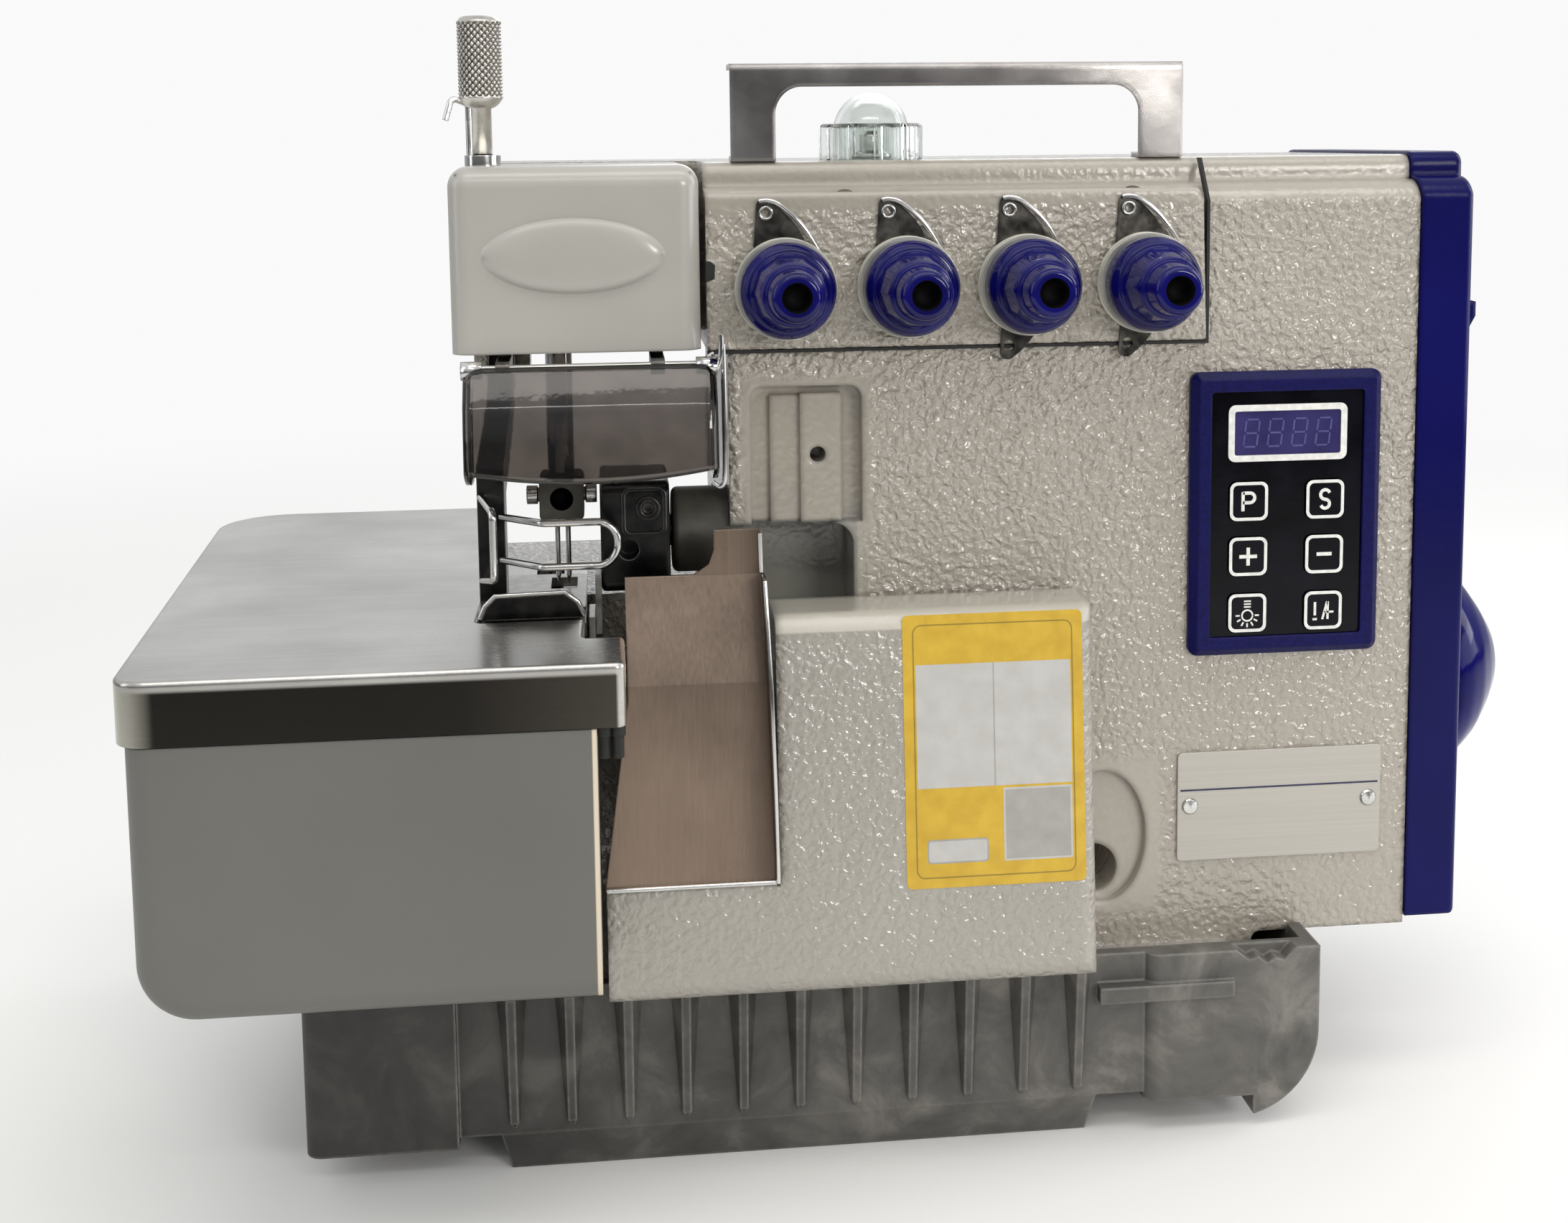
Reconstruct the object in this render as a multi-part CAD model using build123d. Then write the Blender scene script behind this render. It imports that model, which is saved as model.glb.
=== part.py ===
from build123d import *
import os
from math import cos, radians, sin, tan

# Overlock sewing machine, millimetres. +X is to the operator's right, +Y away from the operator, +Z up.
# The origin lies on the plane of the sump's underside.

# Base casting
base_left = -157.5
base_right = 149.5
base_front = -79.0
base_back = 79.0
rim_top = 57.0
base_wall = 4.0
deck_level = 48.0
ledge_width = 6.0
block_bottom = 10.0
block_left_width = 44.5
block_right_start = 94.5
block_right_width = 34.5
block_radius = 5.0
middle_setback = 3.0
middle_bottom = 12.0
sump_left = -101.0
sump_right = 80.0
sump_draft = 3.0
floor_thickness = 5.0
end_arc_radius = 27.0
end_tip_bottom = 4.0
rib_count = 11
rib_first = -96.8
rib_pitch = 17.05
rib_top = 48.0
rib_bottom = 16.0
rib_width = 2.2
rib_reach_top = 5.0
rib_reach_bottom = 1.6
flange_thickness = 5.0
flange_reach = 1.6
flange_left = 80.0
flange_right = 122.0
break_left = 124.5
break_right = 141.0
break_depths = (1.2, 3.4, 2.2, 4.6, 3.0, 3.8, 0.8)
cushion_hole_radius = 4.0
cushion_hole_depth = 6.0
cushion_pitch_x = 250.0
cushion_pitch_y = 120.0
cushion_centre_x = -10.0

# Machine frame casting
frame_left = -29.0
frame_right = 184.0
frame_front = -60.0
frame_back = 62.0
frame_top = 298.5
frame_right_bottom = 54.5
frame_step_x = 134.0
crown_setback = 9.0
crown_drop = 13.0
crown_radius = 4.0
back_radius = 12.0
seat_flange = 4.0
seat_gap = 1.0
upper_left = -35.0
arm_left = -112.0
arm_front = -14.0
arm_back = 50.0
arm_bottom = 245.0
arm_radius = 9.0
head_block_front = -62.0
head_block_top = 288.0
head_block_bottom = 250.0
bed_left = -106.0
bed_front = -22.0
bed_top = 162.0

# Pocket with a drilled pad, and the deep opening under it
pocket_left = -22.5
pocket_right = 11.0
pocket_top = 232.0
pocket_bottom = 190.5
pocket_depth = 5.0
pocket_radius = 4.0
pad_left = -16.5
pad_step = -7.5
pad_right = 5.0
pad_margin = 3.0
pad_low = 1.6
pad_high = 3.2
pad_hole_x = -2.2
pad_hole_z = 211.0
pad_hole_radius = 2.4
cleft_right = 8.3
cleft_bottom = 150.0
cleft_depth = 24.0
cleft_radius = 7.0

# Adjusting hole beside the looper cover
port_x = 83.0
port_z = 77.0
port_radius = 8.0
port_depth = 26.0
dish_x = 86.0
dish_z = 88.0
dish_width = 27.0
dish_height = 42.0
dish_depth = 3.0

# Tension cover plate
tension_left = -35.0
tension_right = 115.9
tension_bottom = 243.3
tension_proud = 3.0
tension_notch_x = 110.0
tension_notch_z = 286.0

# Tension units, left to right
tension_count = 4
tension_first = -12.0
tension_pitch = 36.2
tension_z = 261.5
post_radius = 3.0
post_length = 29.0
disc_radius = 15.0
disc_thickness = 1.2
disc_gap = 0.6
disc_flare = 0.4
disc_bore_clearance = 0.4
knob_radius = 14.0
knob_nose_radius = 7.0
knob_length = 30.0
knob_bore_radius = 4.2
knob_bore_depth = 5.0
knob_facets = 8
guide_thickness = 1.0
guide_height = 26.5
guide_half_width = 9.0
guide_eye_radius = 1.6

# Thread bracket over the tension cover
bracket_left = -26.4
bracket_right = 111.8
bracket_front = -50.0
bracket_depth = 15.0
bracket_height = 29.0
bracket_sheet = 1.6
bracket_flange = 7.0
bracket_leg = 13.5
bracket_corner = 8.0
bracket_foot = 9.0

# Oil sight
sight_x = 18.2
sight_y = -32.0
sight_ring_radius = 16.0
sight_ring_height = 11.0
sight_flutes = 12
dome_radius = 11.5
dome_height = 20.5
dome_wall = 1.5

# Side cover and handwheel
side_gap = 0.3
side_thickness = 17.0
side_bottom = 57.0
side_overhang = 0.9
tab_bottom = 238.5
tab_height = 15.5
tab_length = 7.0
tab_y = -48.0
tab_thickness = 3.0
shaft_y = 0.0
shaft_z = 124.0
shaft_radius = 7.0
shaft_left = -60.0
bearing_clearance = 0.05
wheel_radius = 38.0
wheel_gap = 1.0
wheel_rim = 16.0
wheel_depth = 36.0
wheel_edge = 1.5
wheel_rim_drop = 3.5
wheel_dome = ((14.0, 8.5), (8.0, 16.0), (2.5, 24.0), (0.0, 33.0))
wheel_bore_depth = 22.0
motor_radius = 42.0
motor_length = 46.0
motor_clearance = 3.0

# Cover screws
screw_radius = 3.0
screw_head = 1.8
side_screw_inset = 14.0

# Control panel
bezel_left = 111.8
bezel_right = 172.0
bezel_bottom = 145.1
bezel_top = 233.3
bezel_proud = 4.0
bezel_bevel = 2.2
bezel_radius = 3.0
bezel_border = 6.0
face_sink = 1.0
display_width = 37.5
display_height = 17.5
display_drop = 18.8
display_proud = 0.5
display_frame = 1.6
key_size = 12.0
key_radius = 2.2
key_pitch_x = 24.2
key_drops = (39.8, 57.0, 74.7)
key_proud = 0.9
key_travel = 0.6
key_clearance = 0.25
key_depth = 2.4
key_names = (("key_p", "key_s"), ("key_plus", "key_minus"), ("key_lamp", "key_needle"))

# Rating plate
plate_left = 109.3
plate_right = 175.1
plate_bottom = 79.1
plate_top = 114.0
plate_thickness = 1.0
plate_radius = 1.5
rivet_radius = 2.7
rivet_head = 1.0
rivet_inset = 4.0
rivet_z = 96.8

# Head cover and eye guard
cover_left = -108.6
cover_right = -37.0
cover_front = -71.0
cover_back = -14.0
cover_bottom = 244.6
cover_top = 298.3
cover_radius = 6.0
cover_wall = 2.4
boss_x = -73.3
boss_z = 272.5
boss_length = 51.0
boss_height = 20.5
boss_proud = 1.0
guard_left = -106.0
guard_right = -32.5
guard_wall = 1.6
guard_front = -88.0
guard_bottom = 214.0
guard_side_bottom = 206.0
guard_sag_radius = 72.5
guard_sag_height = 6.0
guard_back = -60.0
guard_pin_radius = 1.5
guard_pin_y = -74.5
guard_pin_z = 240.5
guard_pin_clearance = 0.06
guard_knuckle_radius = 2.8
guard_knuckle_length = 6.0
guard_arm_thickness = 4.0
guard_arms = (-96.0, -52.0)
guard_lug = 2.5
guard_arm_bend = 6.0
guard_arm_foot = (10.0, 2.0)
guard_arm_root = 1.0

# Needle bar and needles
needle_x = -79.0
needle_y = -40.0
needle_bar_radius = 4.0
needle_bar_bottom = 205.0
needle_bar_top = 286.0
slide_clearance = 0.05
clamp_width = 22.0
clamp_depth = 14.0
clamp_height = 15.0
clamp_hole_radius = 3.6
needle_radius = 0.8
needle_spacing = 3.2
needle_length = 20.0
needle_tip = 3.0

# Presser arm, foot, wires and pressure regulator
presser_pivot_y = 36.0
presser_pivot_z = 236.0
presser_pivot_radius = 4.0
presser_arm_width = 8.0
presser_arm_x = -99.5
presser_arm_height = 10.0
presser_arm_front = -58.0
presser_clearance = 0.05
presser_ear = 5.0
presser_eye = (6.0, 5.0, 8.0)
presser_knee = (30.0, 14.0)
presser_knee_setback = 4.0
presser_fall = 26.0
presser_leg = 12.0
foot_left = -103.5
foot_right = -72.2
foot_front = -70.0
foot_back = -24.0
foot_thickness = 3.0
foot_gap = 0.5
foot_slot = 4.0
foot_slot_back = 11.0
wire_radius = 1.1
regulator_x = -98.9
regulator_y = -56.0
regulator_neck_radius = 2.9
regulator_neck_top = 315.6
regulator_collar_radius = 5.2
regulator_collar_height = 3.0
regulator_radius = 6.4
regulator_grip = 25.4
regulator_stem_radius = 2.2
regulator_stem_depth = 30.0
regulator_knurls = 24
hook_x = -106.0
hook_y = -4.0
hook_rise = 18.5
hook_depth = 3.0
hook_radius = 1.0
hook_bend = 1.8
hook_crest = (-5.0, -2.0, 2.0)
hook_tip = (-7.0, -3.0, -5.0)
wire_loop_y = -70.0
wire_loop_left = -84.0
wire_loop_right = -62.5
wire_loop_bottom = 182.0
wire_loop_top = 195.0
wire_bend = 2.5
wire_loop_bend = 6.0
wire_frame_width = 4.0
wire_frame_margin = 6.0

# Knives
knife_pivot_y = -45.0
knife_pivot_z = 187.0
knife_shaft_radius = 5.0
bushing_radius = 13.0
bushing_left = -46.0
knife_arm_left = -67.5
knife_arm_right = -47.0
knife_arm_front = -64.0
knife_arm_back = -28.0
knife_arm_bottom = 172.0
knife_arm_top = 205.0
knife_blade_thickness = 1.9
knife_blade_width = 12.0
knife_blade_bottom = 156.0
knife_blade_top = 178.0
lower_knife_front = -66.0
lower_knife_height = 16.0

# Needle plate, feed dog and loopers
needle_plate_left = -102.4
needle_plate_right = -72.2
needle_plate_front = -76.0
needle_plate_back = 10.0
needle_plate_thickness = 4.0
needle_slot = 4.0
feed_x = -84.0
feed_width = 8.0
feed_front = -36.0
feed_back = -4.0
feed_tooth_pitch = 2.0
feed_tooth_height = 1.0
feed_proud = 0.3
feed_clearance = 0.8
feed_travel = 1.8
feed_bar_bottom = 148.0
looper_rod_radius = 3.5
looper_bore = 12.0
looper_places = ((-52.0, 92.0), (-41.0, 121.0))
looper_reach = ((-34.0, 40.0), (-19.0, 27.0))
looper_offset = 3.0
looper_thickness = 3.0
looper_arm_width = 7.0

# Cloth plate and left cover
cloth_top = 168.0
cloth_sheet = 1.6
cloth_front = -126.0
cloth_back = 100.0
cloth_left_front = -194.0
cloth_left_back = -206.0
cloth_front_right = -61.5
cloth_inner_right = -103.0
cloth_middle_right = -72.5
cloth_step_y = -98.0
cloth_plate_gap = 0.5
cloth_rim = 17.5
cloth_corner_front = 9.0
cloth_corner_back = 24.0
left_cover_gap = 0.3
left_cover_inset = 2.0
left_cover_right = -69.5
left_cover_bottom = 74.0
left_cover_back = 48.0
left_cover_wall = 2.5
left_cover_radius = 16.0
left_cover_front_radius = 7.0
left_cover_notch = 22.0
plate_pin_x = -130.0
plate_pin_y = 60.0
plate_pin_radius = 5.0
plate_boss_radius = 9.0
plate_boss_height = 14.0

# Looper cover and waste chute
looper_left = -68.0
looper_right = 76.0
looper_bottom = 58.0
looper_top = 168.0
looper_front_top = -84.0
looper_front_bottom = -95.0
looper_wall = 2.5
looper_notch_right = -18.0
looper_notch_z = 91.5
looper_radius = 5.0
looper_rod_y = -88.0
looper_rod_z = 65.0
looper_pin_radius = 2.0
looper_pin_clearance = 0.06
looper_slide = 6.0
looper_ear = 6.0
looper_relief_y = -68.0
looper_relief_top = 61.5
looper_brackets = (-27.0, 40.0)
looper_bracket_width = 5.0
looper_bracket_radius = 3.4
chute_sheet = 1.0
chute_left_bottom = -68.4
chute_left_top = -60.8
chute_right_bottom = -18.3
chute_right_top = -20.6
chute_front_bottom = -91.4
chute_front_bend = -87.0
chute_front_top = -78.0
chute_tab_left = -35.0
chute_tab_top = 193.0
chute_shoulder = 180.0
chute_bend_z = 150.0
chute_wall_reach = 8.0

PARTS = "parts"
nodes = {}


def keep(name, *solids):
    """Store one node made of one or more separate solids."""
    nodes[name] = list(solids)


def block(x0, x1, y0, y1, z0, z1):
    """A box given by its limits."""
    return Pos((x0 + x1) / 2, (y0 + y1) / 2, (z0 + z1) / 2) * Box(x1 - x0, y1 - y0, z1 - z0)


def rod_x(x0, x1, y, z, radius):
    """A round bar along X."""
    return Pos((x0 + x1) / 2, y, z) * Rot(0, 90, 0) * Cylinder(radius, x1 - x0)


def rod_y(x, y0, y1, z, radius):
    """A round bar along Y."""
    return Pos(x, (y0 + y1) / 2, z) * Rot(90, 0, 0) * Cylinder(radius, y1 - y0)


def rod_z(x, y, z0, z1, radius):
    """A round bar along Z."""
    return Pos(x, y, (z0 + z1) / 2) * Cylinder(radius, z1 - z0)


def prism_y(points, y0, y1):
    """Extrude an outline given as X, Z points from y0 to y1."""
    outline = Polyline(*[(x, y0, z) for x, z in points], close=True)
    return extrude(make_face(outline), amount=y1 - y0, dir=(0, 1, 0))


def prism_x(points, x0, x1):
    """Extrude an outline given as Y, Z points from x0 to x1."""
    outline = Polyline(*[(x0, y, z) for y, z in points], close=True)
    return extrude(make_face(outline), amount=x1 - x0, dir=(1, 0, 0))


def edges_along(solid, axis, tests):
    """Edges parallel to an axis whose centre passes every test."""
    return [e for e in solid.edges().filter_by(axis) if all(t(e.center()) for t in tests)]


def end_profile(right, bottom, radius, left, top):
    """Upright outline of the base's right end, with its lower corner rounded."""
    turn = radians(75)
    centre = (right - radius, bottom + radius * sin(turn))
    ends = [(centre[0] + radius * cos(a), 0, centre[1] - radius * sin(a)) for a in (turn, turn / 2, 0)]
    arc = ThreePointArc(*ends)
    lines = Polyline(ends[2], (right, 0, top), (left, 0, top), (left, 0, bottom), ends[0])
    return make_face(Curve() + [arc, lines])


def broken_edge():
    """Tool that takes the jagged bite out of the rim at the right end."""
    step = (break_right - break_left) / (len(break_depths) - 1)
    teeth = [(break_left + i * step, rim_top - depth) for i, depth in enumerate(break_depths)]
    outline = [(break_left - step, rim_top + 1)] + teeth + [(break_right + step, rim_top + 1)]
    return prism_y(outline, base_front - flange_reach - 1, base_front + base_wall + 1)


def make_base():
    """Die-cast oil pan with two foot blocks, a tapered sump and a ribbed front wall."""
    middle_front = base_front + middle_setback
    left_end = base_left + block_left_width
    right_end = block_right_start + block_right_width
    body = block(left_end - 1, block_right_start + 1, middle_front, base_back, middle_bottom, rim_top)
    for x0, x1 in ((base_left, left_end), (block_right_start, right_end)):
        foot = block(x0, x1, base_front, base_back, block_bottom, rim_top)
        body += fillet(edges_along(foot, Axis.Z, [lambda c: c.X < x0 + 1]), block_radius)
    tip = end_profile(base_right, end_tip_bottom, end_arc_radius, right_end, rim_top)
    body += extrude(Pos(0, base_front, 0) * tip, amount=base_back - base_front, dir=(0, 1, 0))
    low_front, low_back = middle_front + sump_draft, base_back - sump_draft
    sump_top = Pos(0, 0, middle_bottom + 0.5) * make_face(Polyline(
        (sump_left, middle_front, 0), (sump_right, middle_front, 0),
        (sump_right, base_back, 0), (sump_left, base_back, 0), close=True))
    sump_base = make_face(Polyline(
        (sump_left + sump_draft, low_front, 0), (sump_right - sump_draft, low_front, 0),
        (sump_right - sump_draft, low_back, 0), (sump_left + sump_draft, low_back, 0), close=True))
    body += loft([sump_base, sump_top])
    for i in range(rib_count):
        x = rib_first + i * rib_pitch
        rib = [(middle_front + 1, rib_bottom), (middle_front - rib_reach_bottom, rib_bottom),
               (middle_front - rib_reach_top, rib_top), (middle_front + 1, rib_top)]
        body += prism_x(rib, x - rib_width / 2, x + rib_width / 2)
    body += block(flange_left, flange_right, middle_front - middle_setback - flange_reach,
                  middle_front + 1, deck_level - flange_thickness, deck_level)
    inside_y = base_back - base_wall
    inner_left, inner_right = base_left + base_wall, base_right - base_wall
    body -= block(inner_left, inner_right, middle_front + base_wall, inside_y, deck_level, rim_top + 1)
    body -= block(inner_left + ledge_width, right_end, middle_front + base_wall + ledge_width,
                  inside_y - ledge_width, middle_bottom + floor_thickness, deck_level + 1)
    body -= block(right_end - 1, inner_right, middle_front + base_wall, inside_y,
                  end_tip_bottom + end_arc_radius, rim_top + 1)
    body -= block(sump_left + sump_draft + base_wall, sump_right - sump_draft - base_wall,
                  low_front + base_wall, low_back - base_wall, floor_thickness, deck_level)
    body -= broken_edge()
    body -= block(inner_right - 1, base_right + 1, frame_front - seat_gap, frame_back + seat_gap,
                  frame_right_bottom - seat_gap / 2, rim_top + 1)
    for i in (-1, 1):
        for j in (-1, 1):
            hole_x = cushion_centre_x + i * cushion_pitch_x / 2
            body -= rod_z(hole_x, j * cushion_pitch_y / 2, block_bottom - 1,
                          block_bottom + cushion_hole_depth, cushion_hole_radius)
    keep("base_casting", body)


def crown_outline(margin, bottom):
    """Side outline of the frame: stepped crown at the front, rounded back edge."""
    front, back, top = frame_front + margin, frame_back - margin, frame_top - margin
    step_z = top - crown_drop
    cove = front + crown_setback
    r = back_radius
    knee = top - r * (1 - cos(radians(45)))
    return make_face(Curve() + [
        Line((0, back, bottom), (0, front, bottom)),
        Line((0, front, bottom), (0, front, step_z)),
        ThreePointArc((0, front, step_z), (0, front + crown_setback * 0.35, step_z + crown_drop * 0.3),
                      (0, cove, step_z + crown_drop * 0.42)),
        Line((0, cove, step_z + crown_drop * 0.42), (0, cove, top - crown_radius)),
        ThreePointArc((0, cove, top - crown_radius),
                      (0, cove + crown_radius * 0.293, top - crown_radius * 0.293),
                      (0, cove + crown_radius, top)),
        Line((0, cove + crown_radius, top), (0, back - r, top)),
        ThreePointArc((0, back - r, top), (0, back - r * (1 - sin(radians(45))), knee), (0, back, top - r)),
        Line((0, back, top - r), (0, back, bottom))])


def make_frame():
    """Enamelled frame casting: housing, upper panel step, arm over the needles, bed and seating flange."""
    seat = deck_level
    housing = extrude(Pos(frame_left, 0, 0) * crown_outline(0, seat), amount=frame_right - frame_left,
                      dir=(1, 0, 0))
    upper = extrude(Pos(upper_left, 0, 0) * crown_outline(0, tension_bottom),
                    amount=frame_left - upper_left + 1,
                    dir=(1, 0, 0))
    body = housing + upper
    body -= block(frame_step_x, frame_right + 1, frame_front - 1, frame_back + 1, seat - 1,
                  frame_right_bottom)
    notch = edges_along(body, Axis.Y, [lambda c: abs(c.X - frame_step_x) < 0.1,
                                       lambda c: c.Z < frame_right_bottom + 1])
    body = fillet(notch, 3.0)
    arm = block(arm_left, upper_left + 1, arm_front, arm_back, arm_bottom, frame_top)
    arm = fillet(edges_along(arm, Axis.Y, [lambda c: c.X < upper_left, lambda c: c.Z > arm_bottom + 1]),
                 arm_radius)
    head = block(cover_left + cover_wall + 1, cover_right - cover_wall - 1, head_block_front, arm_front + 1,
                 head_block_bottom, head_block_top)
    body += arm + head
    body += block(bed_left, frame_left + 1, bed_front, frame_back, seat, bed_top)
    flange_left_x = base_left + base_wall + seat_gap
    flange_y = base_back - base_wall - seat_gap
    flange_front_y = base_front + middle_setback + base_wall + seat_gap
    body += block(flange_left_x, frame_step_x - 8, flange_front_y, flange_y, seat, seat + seat_flange)
    motor_end = frame_right - motor_length
    body -= rod_x(motor_end, frame_right + 1, shaft_y, shaft_z, motor_radius + motor_clearance)
    body -= rod_x(shaft_left - 1, motor_end + 1, shaft_y, shaft_z, shaft_radius + bearing_clearance)
    body -= pocket_tool()
    body += pocket_pads()
    body -= rod_y(pad_hole_x, frame_front - 1, frame_front + pocket_depth + 8, pad_hole_z, pad_hole_radius)
    body -= rod_y(port_x, frame_front - 1, frame_front + port_depth, port_z, port_radius)
    dish = Pos(dish_x, frame_front, dish_z) * Rot(90, 0, 0) * extrude(
        Ellipse(dish_width / 2, dish_height / 2), amount=dish_depth, both=True)
    body -= dish
    body -= needle_bores()
    body += presser_ears()
    body -= bed_tools()
    body -= tension_bores()
    body -= rod_z(hook_x, hook_y, frame_top - hook_depth, frame_top + 1, hook_radius)
    keep("machine_frame", body)


def pocket_tool():
    """Recess for the drilled pad and the deep opening below it."""
    recess = block(pocket_left, pocket_right, frame_front - 1, frame_front + pocket_depth, pocket_bottom,
                   pocket_top)
    recess = fillet(edges_along(recess, Axis.Y, [lambda c: c.Z > pocket_bottom + 1]), pocket_radius)
    cleft = block(frame_left - 1, cleft_right, frame_front - 1, frame_front + cleft_depth, cleft_bottom,
                  pocket_bottom)
    cleft = fillet(edges_along(cleft, Axis.Y, [lambda c: c.Z > cleft_bottom + 1, lambda c: c.X > 0]),
                   cleft_radius)
    return recess + cleft


def pocket_pads():
    """Two machined levels of the pad inside the recess."""
    floor = frame_front + pocket_depth
    low = block(pad_left, pad_step + 0.5, floor - pad_low, floor + 1, pocket_bottom, pocket_top - pad_margin)
    high = block(pad_step, pad_right, floor - pad_high, floor + 1, pocket_bottom,
                 pocket_top - pad_margin + 0.5)
    return low + high


def needle_bores():
    """Bore for the needle bar through the head block, and the presser regulator's bore in the arm."""
    bore = rod_z(needle_x, needle_y, head_block_bottom - 1, head_block_top + 1,
                 needle_bar_radius + slide_clearance)
    stem = rod_z(regulator_x, regulator_y, cover_top - regulator_stem_depth - 1, cover_top + 1,
                 regulator_stem_radius + slide_clearance)
    return bore + stem


def presser_ears():
    """Two lugs under the arm that hold the presser shaft."""
    half = presser_arm_width / 2 + 0.3
    low = presser_pivot_z - presser_pivot_radius - 3
    ears = block(presser_arm_x - half - presser_ear, presser_arm_x - half, presser_pivot_y - 7,
                 presser_pivot_y + 7, low, arm_bottom + 1)
    ears += block(presser_arm_x + half, presser_arm_x + half + presser_ear, presser_pivot_y - 7,
                  presser_pivot_y + 7, low, arm_bottom + 1)
    return ears - rod_x(presser_arm_x - 20, presser_arm_x + 20, presser_pivot_y, presser_pivot_z,
                        presser_pivot_radius)


def bed_tools():
    """Channel for the feed dog and bores for the two looper shafts in the bed."""
    half = feed_width / 2 + slide_clearance
    channel = block(feed_x - half, feed_x + half, bed_front - 1, feed_back + feed_travel + 2,
                    feed_bar_bottom - slide_clearance, bed_top + 1)
    for x, z in looper_places:
        channel += rod_y(x, bed_front - 1, bed_front + looper_bore, z, looper_rod_radius + bearing_clearance)
    return channel


def tension_places():
    """X position of each tension unit."""
    return [tension_first + i * tension_pitch for i in range(tension_count)]


def tension_bores():
    """Threaded holes that hold the tension posts."""
    tools = [rod_y(x, frame_front - 1, frame_front + 10, tension_z, post_radius) for x in tension_places()]
    result = tools[0]
    for tool in tools[1:]:
        result += tool
    return result


def make_tension_cover():
    """Flat cover over the tension posts, with a stepped top right corner and a lip over the crown."""
    front = frame_front - tension_proud
    outline = [(tension_left, tension_bottom), (tension_right, tension_bottom),
               (tension_right - 1.3, tension_notch_z),
               (tension_notch_x, frame_top - crown_radius), (tension_left, frame_top - crown_radius)]
    face = prism_y(outline, front, frame_front)
    step = frame_top - crown_drop
    face -= block(tension_left - 1, tension_right + 1, front - 1, front + crown_setback - 2, step + 4,
                  frame_top + 1)
    face = fillet(edges_along(face, Axis.X, [lambda c: c.Y < front + 0.1]), 1.4)
    for x in tension_places():
        face -= rod_y(x, front - 1, frame_front + 1, tension_z, post_radius + disc_bore_clearance)
    keep("tension_cover_plate", face)


def revolve_y(points, x, z):
    """Turn a profile of radius, Y points about the Y direction at x, z."""
    profile = make_face(Polyline(*[(r, y, 0) for r, y in points], close=True))
    return Pos(x, 0, z) * revolve(profile, Axis.Y)


def revolve_x(points, y, z):
    """Turn a profile of X, radius points about the X direction at y, z."""
    profile = make_face(Polyline(*[(x, r, 0) for x, r in points], close=True))
    return Pos(0, y, z) * revolve(profile, Axis.X)


def revolve_z(points, x, y):
    """Turn a profile of radius, Z points about the Z direction at x, y."""
    profile = make_face(Polyline(*[(r, 0, z) for r, z in points], close=True))
    return Pos(x, y, 0) * revolve(profile, Axis.Z)


def make_tension_units():
    """Posts, discs, thread guides and knobs of the four tension units."""
    cover_face = frame_front - tension_proud
    disc_back = cover_face - guide_thickness - disc_gap
    posts, discs = [], []
    for x in tension_places():
        posts.append(rod_y(x, disc_back - post_length, frame_front + 9, tension_z, post_radius))
        for i in range(2):
            near = disc_back - i * (disc_thickness + 2 * disc_gap)
            flare = disc_flare * (1 - 2 * i)
            dish = [(post_radius + disc_bore_clearance, near), (disc_radius - 2, near),
                    (disc_radius, near + flare), (disc_radius, near - disc_thickness + flare),
                    (disc_radius - 2, near - disc_thickness), (post_radius + disc_bore_clearance,
                                                               near - disc_thickness)]
            discs.append(revolve_y(dish, x, tension_z))
    keep("tension_posts", *posts)
    keep("tension_discs", *discs)
    knob_back = disc_back - 2 * disc_thickness - 4 * disc_gap
    for i, x in enumerate(tension_places()):
        keep(f"tension_knob_{i + 1}", tension_knob(x, knob_back))
    keep("upper_thread_guides", *[thread_guide(x, cover_face, 1) for x in tension_places()])
    keep("lower_thread_guides", *[thread_guide(x, cover_face, -1) for x in tension_places()[2:]])


def tension_knob(x, back):
    """Stepped and tapered plastic knob with a faceted nose and a bore that the post ends in."""
    length = knob_length
    r = knob_radius
    nose = knob_nose_radius
    profile = [(0, back), (r - 1.2, back), (r, back - 1.2), (r, back - 7), (r - 1.6, back - 9.5),
               (r - 1.6, back - 12), (r - 3.4, back - 15), (nose + 2.6, back - 19), (nose + 1.2, back - 21),
               (nose, back - length + 1.5), (nose - 1.2, back - length), (0, back - length)]
    knob = revolve_y(profile, x, tension_z)
    knob -= rod_y(x, back - length - 1, back + 1, tension_z, post_radius + bearing_clearance)
    knob -= rod_y(x, back - length - 1, back - length + knob_bore_depth, tension_z, knob_bore_radius)
    for k in range(knob_facets):
        turn = k * 360 / knob_facets
        flute = rod_y(0, back - length - 1, back - 20, nose + 1.6, 1.9)
        knob -= Pos(x, 0, tension_z) * Rot(0, turn, 0) * flute
    return knob


def thread_guide(x, wall, way):
    """Sheet guide with a raised tip: one long upward shape with an eye, or a short one below the discs."""
    if way > 0:
        tip = guide_height
        lean = -6.0
        half = guide_half_width
    else:
        tip = guide_height - 4.0
        lean = -6.0
        half = guide_half_width * 0.6
    z0 = tension_z
    a = Line((x - half - 1, 0, z0), (x + lean - 2.2, 0, z0 + way * (tip - 2)))
    b = ThreePointArc(a @ 1, (x + lean, 0, z0 + way * tip), (x + lean + 2.2, 0, z0 + way * (tip - 1)))
    c = ThreePointArc(b @ 1, (x + half * 0.45, 0, z0 + way * tip * 0.66), (x + half, 0, z0))
    d = Line(c @ 1, a @ 0)
    plate = extrude(Pos(0, wall - guide_thickness - 0.05, 0) * make_face(Curve() + [a, b, c, d]),
                    amount=guide_thickness, dir=(0, 1, 0))
    plate -= rod_y(x, wall - 2 * guide_thickness - 1, wall + 1, z0, post_radius + disc_bore_clearance)
    return plate - rod_y(x + lean + 0.6, wall - 2 * guide_thickness - 1, wall + 1, z0 + way * (tip - 4.2),
                         guide_eye_radius)


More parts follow.
